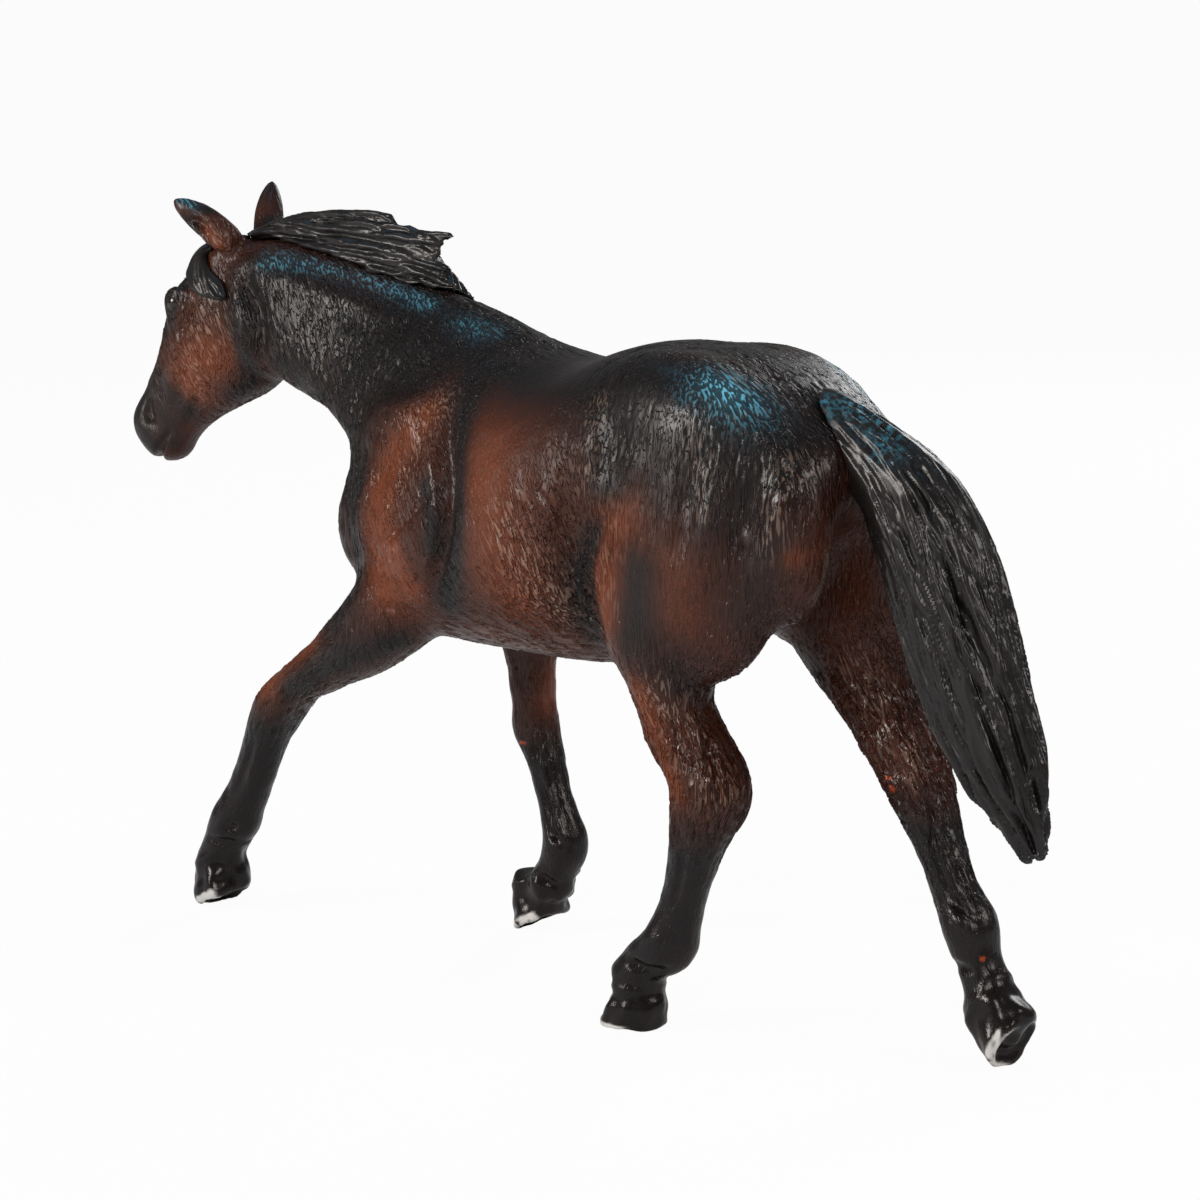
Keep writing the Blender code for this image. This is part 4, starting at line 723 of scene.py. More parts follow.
# Muscle edges and folds on the sides: sides, reach and depth in millimetres, then x and z.
# A depth below zero raises a ridge
FOLD_SHARES = (
    # fold behind the shoulder and the edge that stands proud ahead of it
    (BOTH, 1.8, 0.90, ((-0.168, 0.86), (-0.156, 0.80), (-0.132, 0.75), (-0.124, 0.705),
                       (-0.130, 0.66), (-0.148, 0.62), (-0.175, 0.575))),
    (BOTH, 1.6, -0.45, ((-0.200, 0.84), (-0.188, 0.79), (-0.164, 0.74), (-0.156, 0.70),
                        (-0.163, 0.65), (-0.183, 0.61))),
    # hollows before the shoulder and in its wedge
    (BOTH, 2.8, 0.55, ((-0.245, 0.84), (-0.285, 0.77), (-0.310, 0.70), (-0.318, 0.63),
                       (-0.325, 0.58))),
    (BOTH, 1.5, 0.35, ((-0.172, 0.73), (-0.163, 0.69), (-0.168, 0.65), (-0.185, 0.62))),
    # crease over the triceps and the bone above it
    (BOTH, 1.0, 0.40, ((-0.150, 0.740), (-0.185, 0.705), (-0.235, 0.670), (-0.265, 0.640))),
    (BOTH, 1.6, -0.30, ((-0.165, 0.775), (-0.205, 0.735), (-0.250, 0.700))),
    # lower edge of the flank's ribs
    (BOTH, 2.0, -0.35, ((0.150, 0.85), (0.160, 0.80), (0.158, 0.74), (0.145, 0.70))),
    # top of the forearm
    (BOTH, 1.3, 0.35, ((-0.300, 0.545), (-0.260, 0.545), (-0.215, 0.530))),
    # groove of the throat and the crest under the mane
    (BOTH, 2.0, 0.45, ((-0.590, 0.875), (-0.530, 0.825), (-0.470, 0.780), (-0.425, 0.735))),
    (BOTH, 2.4, -0.35, ((-0.650, 1.015), (-0.560, 0.995), (-0.470, 0.975), (-0.390, 0.955))),
    # flank fold ahead of the thigh
    (BOTH, 2.0, 0.85, ((0.200, 0.735), (0.172, 0.695), (0.150, 0.645), (0.148, 0.59),
                       (0.165, 0.545))),
    (BOTH, 1.8, -0.30, ((0.215, 0.72), (0.190, 0.68), (0.172, 0.635), (0.172, 0.59))),
    # edges of the thigh and buttock muscles
    (BOTH, 1.5, 0.35, ((0.425, 0.80), (0.415, 0.75), (0.395, 0.70))),
    (BOTH, 2.2, 0.35, ((0.330, 0.80), (0.330, 0.73), (0.315, 0.67))),
    (BOTH, 2.4, -0.40, ((0.365, 0.81), (0.370, 0.75), (0.360, 0.69))),
    (BOTH, 2.4, -0.50, ((0.465, 0.80), (0.460, 0.74), (0.440, 0.68))),
    # ribs under the coat
    (BOTH, 2.4, 0.16, ((-0.020, 0.78), (0.000, 0.70), (0.000, 0.62))),
    (BOTH, 2.4, 0.16, ((0.045, 0.78), (0.065, 0.70), (0.060, 0.62))),
    (BOTH, 2.4, 0.16, ((0.105, 0.76), (0.125, 0.69), (0.115, 0.62))),
    # left foreleg: muscle of the forearm, knee, tendon and fetlock
    ((LEFT,), 1.4, 0.40, ((-0.370, 0.515), (-0.450, 0.470), (-0.520, 0.420))),
    ((LEFT,), 1.1, 0.30, ((-0.560, 0.385), (-0.575, 0.360), (-0.590, 0.340))),
    ((LEFT,), 0.9, 0.35, ((-0.610, 0.305), (-0.645, 0.245), (-0.675, 0.195))),
    ((LEFT,), 1.0, 0.70, ((-0.700, 0.140), (-0.680, 0.143), (-0.655, 0.146))),
    ((LEFT,), 0.9, 0.45, ((-0.740, 0.122), (-0.699, 0.117), (-0.670, 0.122))),
    # right foreleg
    (BOTH, 1.3, 0.35, ((-0.290, 0.46), (-0.280, 0.42), (-0.272, 0.38))),
    (BOTH, 0.9, 0.50, ((-0.246, 0.311), (-0.229, 0.282), (-0.205, 0.220), (-0.194, 0.191),
                       (-0.190, 0.150))),
    (BOTH, 1.0, -0.30, ((-0.222, 0.300), (-0.205, 0.255), (-0.182, 0.200))),
    (BOTH, 1.0, 0.60, ((-0.245, 0.098), (-0.233, 0.096), (-0.213, 0.086))),
    # left hind leg: gaskin, hock, tendon and fetlock
    ((LEFT,), 1.4, 0.40, ((0.255, 0.500), (0.275, 0.455), (0.300, 0.415))),
    ((LEFT,), 1.2, -0.30, ((0.285, 0.50), (0.310, 0.455), (0.330, 0.415))),
    ((LEFT,), 1.1, 0.35, ((0.295, 0.385), (0.310, 0.355), (0.325, 0.340))),
    ((LEFT,), 1.5, 0.60, ((0.318, 0.465), (0.327, 0.443), (0.348, 0.410), (0.358, 0.380))),
    ((LEFT,), 1.6, -0.50, ((0.362, 0.392), (0.374, 0.367), (0.368, 0.345))),
    ((LEFT,), 0.9, 0.40, ((0.305, 0.300), (0.290, 0.240), (0.272, 0.185))),
    ((LEFT,), 1.1, 0.80, ((0.198, 0.102), (0.212, 0.098), (0.234, 0.092), (0.262, 0.100))),
    # right hind leg
    (BOTH, 1.4, 0.45, ((0.420, 0.500), (0.445, 0.455), (0.475, 0.415))),
    (BOTH, 1.2, -0.30, ((0.450, 0.50), (0.475, 0.455), (0.500, 0.415))),
    (BOTH, 1.0, 0.35, ((0.470, 0.385), (0.495, 0.380), (0.520, 0.385))),
    (BOTH, 0.9, 0.50, ((0.546, 0.385), (0.585, 0.300), (0.612, 0.240), (0.635, 0.197))),
    (BOTH, 1.0, 0.60, ((0.590, 0.132), (0.611, 0.133), (0.652, 0.140))),
)

# Lines on each side of the head: reach and depth in millimetres, then down, out and across
HEAD_LINE_SHARES = (
    # mouth
    (0.90, 0.95, ((0.960, -0.10, 0.00), (0.950, -0.10, 0.08), (0.905, -0.12, 0.20),
                  (0.849, -0.134, 0.257))),
    (0.60, 0.40, ((0.870, -0.125, 0.24), (0.820, -0.145, 0.28), (0.790, -0.17, 0.29))),
    # nostril and its rims
    (1.3, 0.75, ((0.745, 0.190, 0.26), (0.795, 0.120, 0.28), (0.805, 0.030, 0.29))),
    (1.6, -0.25, ((0.800, 0.250, 0.20), (0.855, 0.140, 0.25), (0.860, 0.020, 0.27))),
    (1.8, 0.25, ((0.640, 0.150, 0.32), (0.700, 0.060, 0.34))),
    # cheekbone and the hollow under it
    (1.9, -0.30, ((0.400, 0.060, 0.50), (0.500, 0.050, 0.44), (0.620, 0.040, 0.38))),
    (1.6, 0.30, ((0.480, -0.130, 0.48), (0.580, -0.120, 0.42), (0.680, -0.100, 0.34))),
    # hollow above the eye
    (1.6, 0.50, ((0.180, 0.320, 0.40), (0.215, 0.310, 0.42))),
    # upper and lower lids with their creases
    (0.95, -0.38, ((0.245, 0.225, 0.49), (0.272, 0.325, 0.46), (0.325, 0.365, 0.44),
                   (0.380, 0.320, 0.46), (0.405, 0.240, 0.47))),
    (0.90, -0.40, ((0.250, 0.200, 0.50), (0.300, 0.135, 0.50), (0.355, 0.135, 0.49),
                   (0.400, 0.205, 0.47))),
    (0.80, 0.35, ((0.205, 0.300, 0.46), (0.255, 0.440, 0.42), (0.335, 0.480, 0.38),
                  (0.410, 0.400, 0.42))),
    (0.80, 0.35, ((0.250, 0.070, 0.50), (0.320, 0.040, 0.50), (0.400, 0.090, 0.48))),
    # edge of the jaw
    (1.8, 0.85, ((0.010, -0.180, 0.44), (0.050, -0.330, 0.46), (0.079, -0.500, 0.46),
                 (0.150, -0.640, 0.44), (0.240, -0.720, 0.36))),
    (2.0, -0.35, ((0.110, -0.300, 0.47), (0.170, -0.450, 0.46), (0.260, -0.550, 0.42),
                  (0.350, -0.540, 0.36))),
    (1.2, 0.35, ((0.550, -0.270, 0.28), (0.660, -0.260, 0.24), (0.760, -0.240, 0.20))),
)
# Ridges of the left ear and of the poll beside it, and the ear's opening, on the same terms
EAR_LINE_SHARES = (
    (3.0, -0.60, ((0.020, 0.080, -0.40), (-0.015, 0.180, -0.46), (-0.020, 0.300, -0.50))),
    (3.6, -0.50, ((-0.030, 0.130, -0.15), (-0.050, 0.100, 0.10))),
    (1.3, 1.50, ((-0.010, 0.460, -0.560), (-0.018, 0.350, -0.530), (-0.012, 0.250, -0.490),
                 (0.0, 0.160, -0.43))),
    (2.6, -0.80, ((0.000, 0.220, -0.29), (0.060, 0.220, -0.30), (0.100, 0.200, -0.33))),
)


# The paints in sRGB, from the first coat to the last, the painted shade and painted highlights
# among them, and the vinyl that shows where they are gone
BAY_BROWN = "#3a1c11"
RUST = "#7a3c1d"
SPRAYED_BLACK = "#100e0e"
SHADE_IN_CUTS = "#0b0808"
# painted highlight on the raised fur
PAINTED_HIGHLIGHT_CREAM = "#a08878"
# painted reflection of a blue light, on the ridges of the fur
PAINTED_BLUE_GLINT = "#66b2cb"
ORANGE_VINYL = "#b04a26"
WORN_WHITE = "#cfcecb"
EYE_BLACK, EYE_BROWN = "#0c0807", "#20130d"
HAIR_BLACK, WORN_HAIR = "#100f10", "#211d1b"
HAIR_SHADE = "#0a0909"
# painted reflection of a blue light, on the tail's root
PAINTED_BLUE_HAIR_GLINT = "#4aa0ba"
PAPER_WHITES = ("#f2f2f2", "#f6f6f6")

# Sizes of the paints' patterns. The spray's real droplets are finer than this grain, which is
# drawn as coarse as it needs to show
SPRAY_GRAIN = 0.24 * MM
SPRAY_RELIEF = 0.06 * MM
COAT_BLOTS = 3.0 * MM
EYE_BLOTS = 1.2 * MM
HAIR_BLOTS = 2.0 * MM
HAIR_RELIEF = 0.08 * MM
HAIR_GLINTS = 0.9 * MM
PAPER_GRAIN = 2.0 * MM
GRAIN_ROUGHNESS = 0.6


def srgb(code):
    """A linear colour from an sRGB hex code."""
    parts = [int(code[k:k + 2], 16) / 255 for k in (1, 3, 5)]
    return tuple(v / 12.92 if v <= 0.04045 else ((v + 0.055) / 1.055) ** 2.4 for v in parts)


def node(tree, kind, inputs=(), out=0, **settings):
    """Adds a node with its settings and inputs, and gives one of its outputs.

    The inputs come in their order, or by name or number. Each is a number, a colour's hex code or
    another node's output.
    """
    made = tree.nodes.new(kind)
    for name, value in settings.items():
        setattr(made, name, value)
    for key, value in (inputs if isinstance(inputs, dict) else dict(enumerate(inputs))).items():
        if isinstance(value, bpy.types.NodeSocket):
            tree.links.new(value, made.inputs[key])
        elif isinstance(value, str):
            made.inputs[key].default_value = (*srgb(value), 1.0)
        else:
            made.inputs[key].default_value = value
    return made.outputs[out] if made.outputs else None


def bare_material(name):
    """A material with no nodes yet, and its tree."""
    made = bpy.data.materials.new(name)
    made.use_nodes = True
    made.node_tree.nodes.clear()
    return made, made.node_tree


def stockinged(skin, owner):
    """Black on the legs from the hooves to above the knees and hocks."""
    black = skin.masks["black"]
    for name, level in STOCKING_SHARES.items():
        legs = np.unique(skin.quads[owner == COAT_NODES.index(name)])
        height = skin.places[legs, 2]
        cover = np.clip((level * STANDING_HEIGHT - height) / STOCKING_FADE + 0.5, 0.0, 1.0)
        black[legs] = 1.0 - (1.0 - black[legs]) * (1.0 - cover)
        skin.masks["wet"][legs] = np.maximum(skin.masks["wet"][legs], 0.5 * cover)


def chipped(skin):
    """Ragged spots where the paint is knocked off."""
    draw = np.random.default_rng(3)
    bare = np.zeros(len(skin.places))
    for side, radius, (x, z) in CHIP_SHARES:
        place = side_path(skin, side, [(x, z)])[0]
        for _ in range(5):
            spot = place + draw.normal(0.0, 0.55 * radius * MM, 3)
            away = np.linalg.norm(skin.places - spot, axis=1)
            bare = np.maximum(bare, np.clip(1.6 - 1.6 * away / (radius * MM), 0.0, 1.0))
    return bare


def fine_fur(tree, place, lean):
    """Pattern of the finest fur strokes, drawn in a few leans and chosen by the lie of the coat."""
    total = 0.0
    for angle in FINE_FUR_LEANS:
        inputs = {"Vector": place, "Rotation": (0.0, -math.radians(angle), 0.0),
                  "Scale": (FINE_FUR_WIDTH, FINE_FUR_WIDTH, FINE_FUR_LENGTH)}
        turned = node(tree, "ShaderNodeMapping", inputs, vector_type="TEXTURE")
        inputs = {"Vector": turned, "Scale": 1.0, "Detail": 0.0}
        pattern = node(tree, "ShaderNodeTexNoise", inputs)
        away = node(tree, "ShaderNodeMath", (lean, angle), operation="SUBTRACT")
        away = node(tree, "ShaderNodeMath", (away,), operation="ABSOLUTE")
        inputs = (away, -0.2, 3.5)
        share = node(tree, "ShaderNodeMath", inputs, operation="MULTIPLY_ADD", use_clamp=True)
        total = node(tree, "ShaderNodeMath", (share, pattern, total), operation="MULTIPLY_ADD")
    return total


def painted_coat():
    """Moulded vinyl under airbrushed acrylic: satin, speckled by the spray, with painted shade in
    the cuts and painted highlights on the fur's ridges.
    """
    made, tree = bare_material("airbrushed_vinyl_coat")
    place = node(tree, "ShaderNodeTexCoord", out="Object")
    labels = ("black", "rust", "wet", "fur_highlight", "blue_glint", "chip", "shoe", "hoof", "lean", "fur", "cut")
    black, rust, wet, fur_highlight, blue_glint, chip, shoe, hoof, lean, fur, cut = [
        node(tree, "ShaderNodeAttribute", out="Fac", attribute_name=label) for label in labels
    ]
    speckle, blots = [
        node(tree, "ShaderNodeTexNoise", {"Vector": place, "Scale": 1.0 / size,
                                          "Detail": 2.0, "Roughness": GRAIN_ROUGHNESS})
        for size in (SPRAY_GRAIN, COAT_BLOTS)
    ]
    pattern = fine_fur(tree, place, lean)
    # Valleys between the fine strokes, as deep as the coat is cut there
    inputs = (pattern, 8.0, -3.3)
    ridge = node(tree, "ShaderNodeMath", inputs, operation="MULTIPLY_ADD", use_clamp=True)
    valley = node(tree, "ShaderNodeMath", (1.0, ridge), operation="SUBTRACT")
    valley = node(tree, "ShaderNodeMath", (valley, fur), operation="MULTIPLY")

    # Sprayed paints end in a speckle, and the valleys between the fine strokes are darkened towards
    # black, a painted shade
    speck = node(tree, "ShaderNodeMath", (speckle, 0.5), operation="SUBTRACT")
    blot = node(tree, "ShaderNodeMath", (blots, 0.5), operation="SUBTRACT")
    black = node(tree, "ShaderNodeMath", (speck, 1.8, black), operation="MULTIPLY_ADD")
    black = node(tree, "ShaderNodeMath", (blot, 0.30, black), operation="MULTIPLY_ADD")
    inputs = (valley, 0.10, black)
    black = node(tree, "ShaderNodeMath", inputs, operation="MULTIPLY_ADD", use_clamp=True)
    inputs = (speck, 3.0, rust)
    rust = node(tree, "ShaderNodeMath", inputs, operation="MULTIPLY_ADD", use_clamp=True)
    cut = node(tree, "ShaderNodeMath", (cut, 0.22), operation="MULTIPLY", use_clamp=True)

    # Painted highlights catch on the ridges of the fur: light cream, and the painted blue
    # reflection
    inputs = (pattern, 10.0, -5.7)
    highlight_and_relief = node(tree, "ShaderNodeMath", inputs, operation="MULTIPLY_ADD", use_clamp=True)
    highlight_and_relief = node(tree, "ShaderNodeMath", (highlight_and_relief, fur_highlight), operation="MULTIPLY")
    highlight_and_relief = node(tree, "ShaderNodeMath", (highlight_and_relief, 0.50), operation="MULTIPLY")
    inputs = (pattern, 10.0, -5.5)
    glint = node(tree, "ShaderNodeMath", inputs, operation="MULTIPLY_ADD", use_clamp=True)
    glint = node(tree, "ShaderNodeMath", (glint, 0.88, 0.12), operation="MULTIPLY_ADD")
    blue_glint = node(tree, "ShaderNodeMath", (blue_glint, glint), operation="MULTIPLY", use_clamp=True)

    colour = BAY_BROWN
    for share, paint in (
        (rust, RUST), (black, SPRAYED_BLACK), (cut, SHADE_IN_CUTS), (highlight_and_relief, PAINTED_HIGHLIGHT_CREAM),
        (blue_glint, PAINTED_BLUE_GLINT), (chip, ORANGE_VINYL), (shoe, WORN_WHITE),
    ):
        inputs = {0: share, 6: colour, 7: paint}
        colour = node(tree, "ShaderNodeMix", inputs, out=2, data_type="RGBA")

    # Satin all over, glossier where varnish stands wet and on the hooves
    gloss = node(tree, "ShaderNodeMath", (wet, -0.12), operation="MULTIPLY")
    gloss = node(tree, "ShaderNodeMath", (hoof, -0.06, gloss), operation="MULTIPLY_ADD")
    rough = node(tree, "ShaderNodeMath", (gloss, 0.25), operation="ADD")
    rough = node(tree, "ShaderNodeMath", (blots, 0.14, rough), operation="MULTIPLY_ADD")

    # Thick varnish fills the valleys too
    filled = node(tree, "ShaderNodeMath", (wet, 0.7, -1.0), operation="MULTIPLY_ADD")
    height = node(tree, "ShaderNodeMath", (valley, filled), operation="MULTIPLY")
    inputs = {"Height": height, "Strength": 1.0, "Distance": FINE_FUR_RELIEF}
    carved = node(tree, "ShaderNodeBump", inputs)
    inputs = {"Height": speckle, "Strength": 0.30, "Distance": SPRAY_RELIEF, "Normal": carved}
    grained = node(tree, "ShaderNodeBump", inputs)
    inputs = {"Base Color": colour, "Roughness": rough, "Specular IOR Level": 0.26,
              "Normal": grained}
    shader = node(tree, "ShaderNodeBsdfPrincipled", inputs)
    node(tree, "ShaderNodeOutputMaterial", {"Surface": shader})
    return made


def varnished_eye():
    """The painted eye under a drop of clear varnish: near black brown and glossy."""
    made, tree = bare_material("varnished_eye_paint")
    place = node(tree, "ShaderNodeTexCoord", out="Object")
    inputs = {"Vector": place, "Scale": 1.0 / EYE_BLOTS, "Detail": 2.0,
              "Roughness": GRAIN_ROUGHNESS}
    blots = node(tree, "ShaderNodeTexNoise", inputs)
    inputs = {0: blots, 6: EYE_BLACK, 7: EYE_BROWN}
    colour = node(tree, "ShaderNodeMix", inputs, out=2, data_type="RGBA")
    shader = node(tree, "ShaderNodeBsdfPrincipled", {"Base Color": colour, "Roughness": 0.20})
    node(tree, "ShaderNodeOutputMaterial", {"Surface": shader})
    return made


def painted_hair():
    """Moulded vinyl brushed with thick black acrylic: glossier on the raised strands."""
    made, tree = bare_material("brushed_vinyl_hair")
    place = node(tree, "ShaderNodeTexCoord", out="Object")
    cut, blue_glint = [
        node(tree, "ShaderNodeAttribute", out="Fac", attribute_name=label)
        for label in ("cut", "blue_glint")
    ]
    blots, glints = [
        node(tree, "ShaderNodeTexNoise", {"Vector": place, "Scale": 1.0 / size,
                                          "Detail": detail, "Roughness": GRAIN_ROUGHNESS})
        for size, detail in ((HAIR_BLOTS, 3.0), (HAIR_GLINTS, 2.0))
    ]
    # Painted shade darkens the cuts between strands, and a painted blue reflection sits on the
    # glints of the tail's root
    cut = node(tree, "ShaderNodeMath", (cut, 0.5), operation="MULTIPLY", use_clamp=True)
    inputs = (glints, 4.0, -1.9)
    glints = node(tree, "ShaderNodeMath", inputs, operation="MULTIPLY_ADD", use_clamp=True)
    blue_glint = node(tree, "ShaderNodeMath", (blue_glint, glints), operation="MULTIPLY", use_clamp=True)
    colour = HAIR_BLACK
    for share, paint in ((blots, WORN_HAIR), (cut, HAIR_SHADE), (blue_glint, PAINTED_BLUE_HAIR_GLINT)):
        inputs = {0: share, 6: colour, 7: paint}
        colour = node(tree, "ShaderNodeMix", inputs, out=2, data_type="RGBA")
    rough = node(tree, "ShaderNodeMath", (blots, 0.16, 0.22), operation="MULTIPLY_ADD")
    inputs = {"Height": blots, "Strength": 0.2, "Distance": HAIR_RELIEF}
    highlight_and_relief = node(tree, "ShaderNodeBump", inputs)
    inputs = {"Base Color": colour, "Roughness": rough, "Specular IOR Level": 0.35,
              "Normal": highlight_and_relief}
    shader = node(tree, "ShaderNodeBsdfPrincipled", inputs)
    node(tree, "ShaderNodeOutputMaterial", {"Surface": shader})
    return made


def border_loops(quads):
    """The rims of an open sheet of quads, each as a run of vertices."""
    start = quads.ravel()
    end = np.roll(quads, -1, axis=1).ravel()
    count = quads.max() + 1
    open_edges = ~np.isin(start * count + end, end * count + start)
    following = {}
    for a, b in zip(start[open_edges].tolist(), end[open_edges].tolist()):
        following.setdefault(a, []).append(b)
    loops = []
    while following:
        start = next(iter(following))
        run = [start]
        while True:
            ahead = following[run[-1]]
            step = ahead.pop()
            if not ahead:
                del following[run[-1]]
            if step == start:
                break
            run.append(step)
        loops.append(run)
    return loops


def piece_of(skin, name, faces):
    """A closed piece made of some faces of the skin, its open rims closed inside the figure."""
    quads = skin.quads[faces]
    used = np.unique(quads)
    number = np.full(len(skin.places), -1)
    number[used] = np.arange(len(used))
    quads = number[quads]
    places = skin.places[used].tolist()
    polygons = quads.tolist()
    rim = set()
    for loop in border_loops(quads):
        middle = len(places)
        places.append(np.mean([places[v] for v in loop], axis=0).tolist())
        for a, b in zip(loop, loop[1:] + loop[:1]):
            polygons.append((b, a, middle))
            rim.add((min(a, b), max(a, b)))
    mesh = bpy.data.meshes.new(name)
    mesh.from_pydata(places, [], polygons)
    mesh.shade_smooth()
    ends = np.empty(len(mesh.edges) * 2, int)
    mesh.edges.foreach_get("vertices", ends)
    ends = np.sort(ends.reshape(-1, 2), axis=1)
    keys = [a * len(places) + b for a, b in rim]
    sharp = np.isin(ends[:, 0] * len(places) + ends[:, 1], keys)
    mesh.attributes.new("sharp_edge", "BOOLEAN", "EDGE").data.foreach_set("value", sharp)
    for label, values in skin.masks.items():
        layer = np.zeros(len(places), np.float32)
        layer[: len(used)] = values[used]
        mesh.attributes.new(label, "FLOAT", "POINT").data.foreach_set("value", layer)
    return new_object(name, mesh)


def nearest_nodes(skin, nodes):
    """For each face of the skin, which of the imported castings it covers."""
    places = []
    triangles = []
    owner = []
    for rank, name in enumerate(nodes):
        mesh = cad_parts[name].data
        start = len(places)
        places.extend(v.co for v in mesh.vertices)
        for polygon in mesh.polygons:
            triangles.append([start + v for v in polygon.vertices])
            owner.append(rank)
    tree = BVHTree.FromPolygons(places, triangles)
    centres = skin.places[skin.quads].mean(axis=1)
    return np.array([owner[tree.find_nearest(centre)[2]] for centre in centres.tolist()])


def dress(piece, material, slot, *nodes):
    """Finishes a piece and lets it stand for its packed castings."""
    piece.data.materials.append(material)
    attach(piece, "root")
    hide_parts(*nodes)


def coat_pieces():
    """Sculpts and paints the whole coat as one skin, then parts it into the castings."""
    skin = melted(COAT_NODES, COAT_VOXEL)
    owner = nearest_nodes(skin, COAT_NODES)
    # The trunk is smoothed longer than the head and legs, whose shapes are finer
    calm = np.zeros(len(skin.places))
    calm[skin.quads[owner == COAT_NODES.index("torso")]] = 1.0
    calm = skin.blurred(calm, BORDER_ROUNDS)
    skin.relax(COAT_ROUNDS)
    skin.relax(TRUNK_ROUNDS, calm)
    skin.plant()
    for label, strokes in COAT_SPRAYS.items():
        skin.masks[label] = sprayed(skin, strokes)
    skin.masks["chip"] = chipped(skin)
    stockinged(skin, owner)
    folded(skin)
    featured(skin)
    shod(skin)
    dented(skin)
    skin.relax(SCULPTED_ROUNDS)
    skin.facing = skin.normals()
    furred(skin, np.random.default_rng(7))
    coat = painted_coat()
    for rank, name in enumerate(COAT_NODES[1:], 1):
        dress(piece_of(skin, name + "_skin", owner == rank), coat, "bay_coat", name)
    parting = from_side(TRUNK_PARTING_SHARE, 0.0)[0]
    behind = skin.places[skin.quads].mean(axis=1)[:, 0] > parting
    for name, part in (("forehand_skin", ~behind), ("barrel_skin", behind)):
        dress(piece_of(skin, name, (owner == 0) & part), coat, "bay_coat", "torso")


def eye_pieces():
    """Two eyeballs that stand in the sockets of the head's skin."""
    eye = varnished_eye()
    for name, side in (("left_eye", LEFT), ("right_eye", RIGHT)):
        bm = bmesh.new()
        bmesh.ops.create_uvsphere(bm, u_segments=32, v_segments=20, radius=EYEBALL_RADIUS)
        down, out, over = EYE_SHARES
        bmesh.ops.translate(bm, verts=bm.verts, vec=on_head(down, out, side * over))
        mesh = bpy.data.meshes.new(name)
        bm.to_mesh(mesh)
        bm.free()
        mesh.shade_smooth()
        piece = new_object(name, mesh)
        piece.data.materials.append(eye)
        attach(piece, "root")


def hair_pieces():
    """The mane, the forelock and the tail, each a skin of its own."""
    hair = painted_hair()
    flows = (MANE_FLOW_SHARES, FORELOCK_FLOW_SHARES, TAIL_FLOW_SHARES)
    for name, guides in zip(HAIR_NODES, flows):
        skin = melted((name,), HAIR_VOXEL)
        skin.relax(HAIR_ROUNDS)
        skin.plant()
        stranded(skin, guides, np.random.default_rng(11))
        # The tail's root gets a painted blue reflection
        skin.masks["blue_glint"] = sprayed(skin, HAIR_BLUE_GLINT_SHARES if name == "tail" else ())
        piece = piece_of(skin, name + "_hair", np.ones(len(skin.quads), bool))
        dress(piece, hair, "black_hair", name)


# How far the floor reaches each way, in metres, how much of it glows to the camera, and the
# strength of the studio's walls on the figure and as the camera sees them
FLOOR_REACH = 12.0
FLOOR_GLOW_SHARE = 0.955
WALL_STRENGTH = 0.19
SEEN_WALL_STRENGTH = 0.966

# The lamps, all aimed at the figure's middle: name, place, width and height in metres, watts and
# colour
LAMP_AIM = (0.0, 0.0, 0.05)
LAMPS = (
    ("key", (-0.42, -0.80, 0.34), (0.25, 0.25), 5.0, "#fff8f3"),
    ("camera_side", (0.50, -0.60, 0.47), (0.24, 0.24), 2.6, "#fff8f3"),
    ("rear", (0.75, 0.27, 0.50), (0.24, 0.24), 2.2, "#fff8f3"),
    ("far", (-0.20, 0.85, 0.50), (0.40, 0.40), 2.5, "#ffffff"),
    ("cool_rump", (0.11, -0.03, 0.60), (0.10, 0.10), 0.22, "#78c4f0"),
    ("cool_crest", (-0.26, -0.10, 0.60), (0.16, 0.20), 0.22, "#78c4f0"),
)


def white_paper():
    """Matt white paper: an even white ground, of which only the camera sees a glow.

    No piece of the figure is metal or glass, so nothing else has to show the glow.
    """
    made, tree = bare_material("white_paper")
    place = node(tree, "ShaderNodeTexCoord", out="Object")
    inputs = {"Vector": place, "Scale": 1.0 / PAPER_GRAIN, "Detail": 2.0,
              "Roughness": GRAIN_ROUGHNESS}
    blots = node(tree, "ShaderNodeTexNoise", inputs)
    inputs = {0: blots, 6: PAPER_WHITES[0], 7: PAPER_WHITES[1]}
    colour = node(tree, "ShaderNodeMix", inputs, out=2, data_type="RGBA")
    shader = node(tree, "ShaderNodeBsdfPrincipled", {"Base Color": colour, "Roughness": 0.9})
    seen = node(tree, "ShaderNodeLightPath", out="Is Camera Ray")
    part = node(tree, "ShaderNodeMath", (seen, FLOOR_GLOW_SHARE), operation="MULTIPLY")
    glow = node(tree, "ShaderNodeEmission", {"Strength": 1.0})
    both = node(tree, "ShaderNodeMixShader", (part, shader, glow))
    node(tree, "ShaderNodeOutputMaterial", {"Surface": both})
    return made


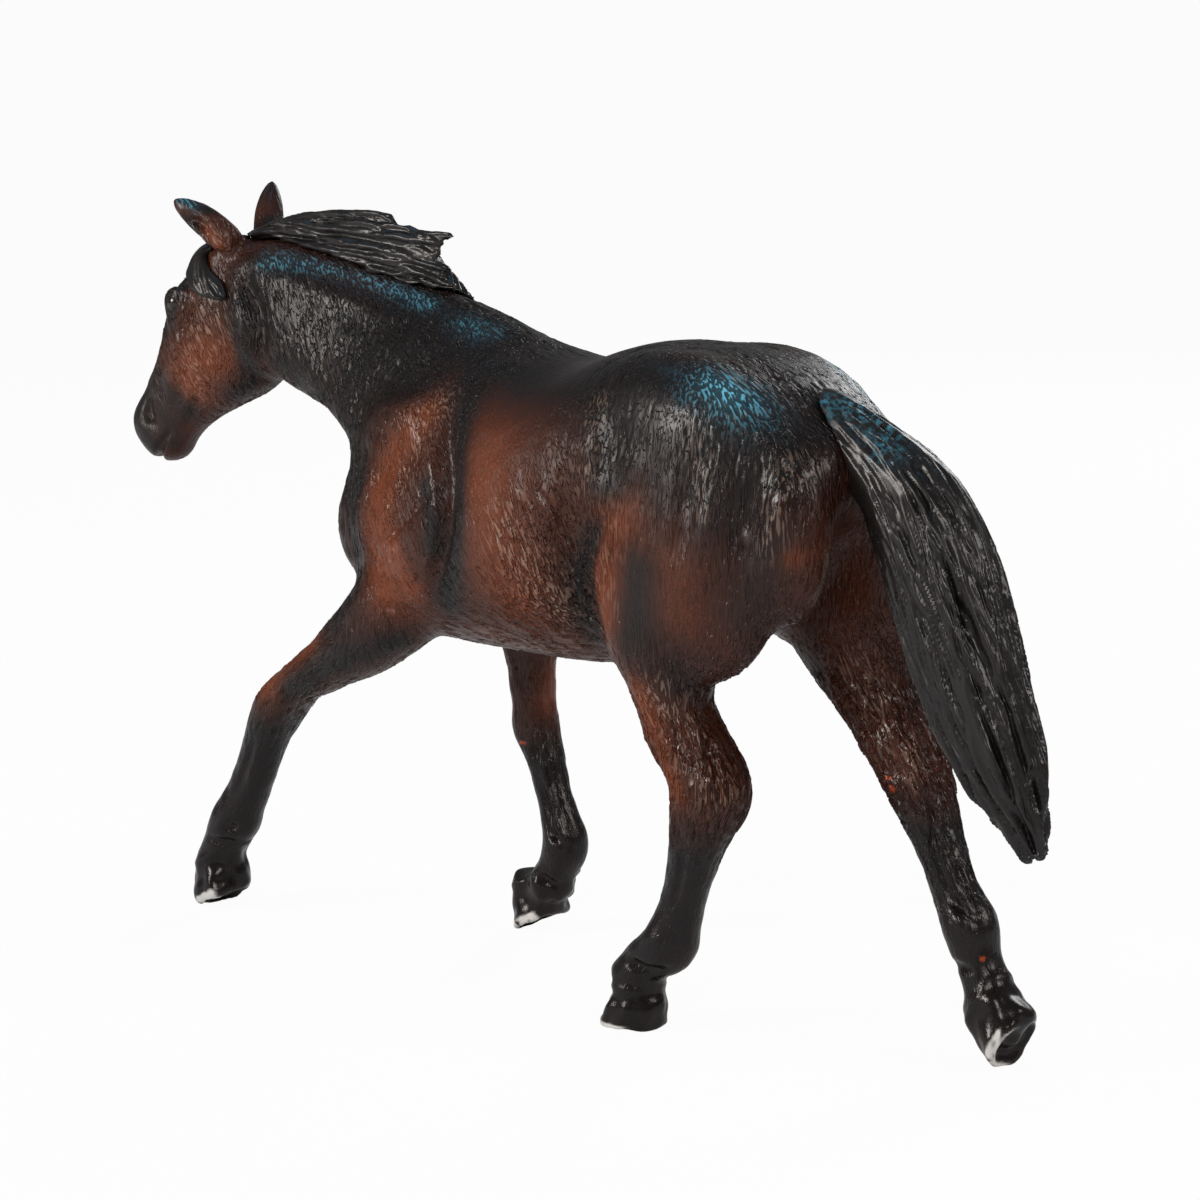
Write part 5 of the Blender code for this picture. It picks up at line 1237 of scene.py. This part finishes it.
def backdrop():
    """A plain white floor that keeps the figure's shadow."""
    mesh = bpy.data.meshes.new("floor")
    ways = ((-1, -1), (1, -1), (1, 1), (-1, 1))
    corners = [(x * FLOOR_REACH, y * FLOOR_REACH, 0) for x, y in ways]
    mesh.from_pydata(corners, [], [(0, 1, 2, 3)])
    floor = new_object("floor", mesh)
    floor.data.materials.append(white_paper())


def aimed(name, data, place, aim):
    """A lamp or camera at a place, turned to what it looks at."""
    obj = new_object(name, data)
    obj.location = place
    obj.rotation_mode = "QUATERNION"
    obj.rotation_quaternion = (Vector(aim) - Vector(place)).to_track_quat("-Z", "Y")
    return obj


def lights():
    """Softboxes round the figure in a dim white room."""
    for name, place, size, power, colour in LAMPS:
        lamp = bpy.data.lights.new(name, "AREA")
        lamp.shape = "RECTANGLE"
        lamp.size, lamp.size_y = size
        lamp.energy = power
        lamp.color = srgb(colour)
        aimed(name, lamp, place, LAMP_AIM)
    world = bpy.data.worlds.new("studio")
    bpy.context.scene.world = world
    world.use_nodes = True
    tree = world.node_tree
    tree.nodes.clear()
    seen = node(tree, "ShaderNodeLightPath", out="Is Camera Ray")
    inputs = {0: seen, 2: WALL_STRENGTH, 3: SEEN_WALL_STRENGTH}
    strength = node(tree, "ShaderNodeMix", inputs, data_type="FLOAT")
    glow = node(tree, "ShaderNodeBackground", {"Color": "#ffffff", "Strength": strength})
    node(tree, "ShaderNodeOutputWorld", {"Surface": glow})
    bpy.context.scene.view_settings.view_transform = "Standard"


# The camera as solved from the photograph, whose frame is 1200 by 1200, in metres
CAMERA_PLACE = (0.28748, -0.27392, 0.11239)
CAMERA_AIM = (0.00874, 0.0, 0.0484)
FOCAL_SHARE = 3130.0 / 1200.0
SHIFT_SHARES = (-5.0 / 1200.0, 12.0 / 1200.0)


def camera():
    """The photographer's camera."""
    data = bpy.data.cameras.new("camera")
    data.lens = FOCAL_SHARE * data.sensor_width
    data.shift_x, data.shift_y = SHIFT_SHARES
    data.clip_start = 0.01
    bpy.context.scene.camera = aimed("camera", data, CAMERA_PLACE, CAMERA_AIM)


camera()
lights()
backdrop()
coat_pieces()
eye_pieces()
hair_pieces()
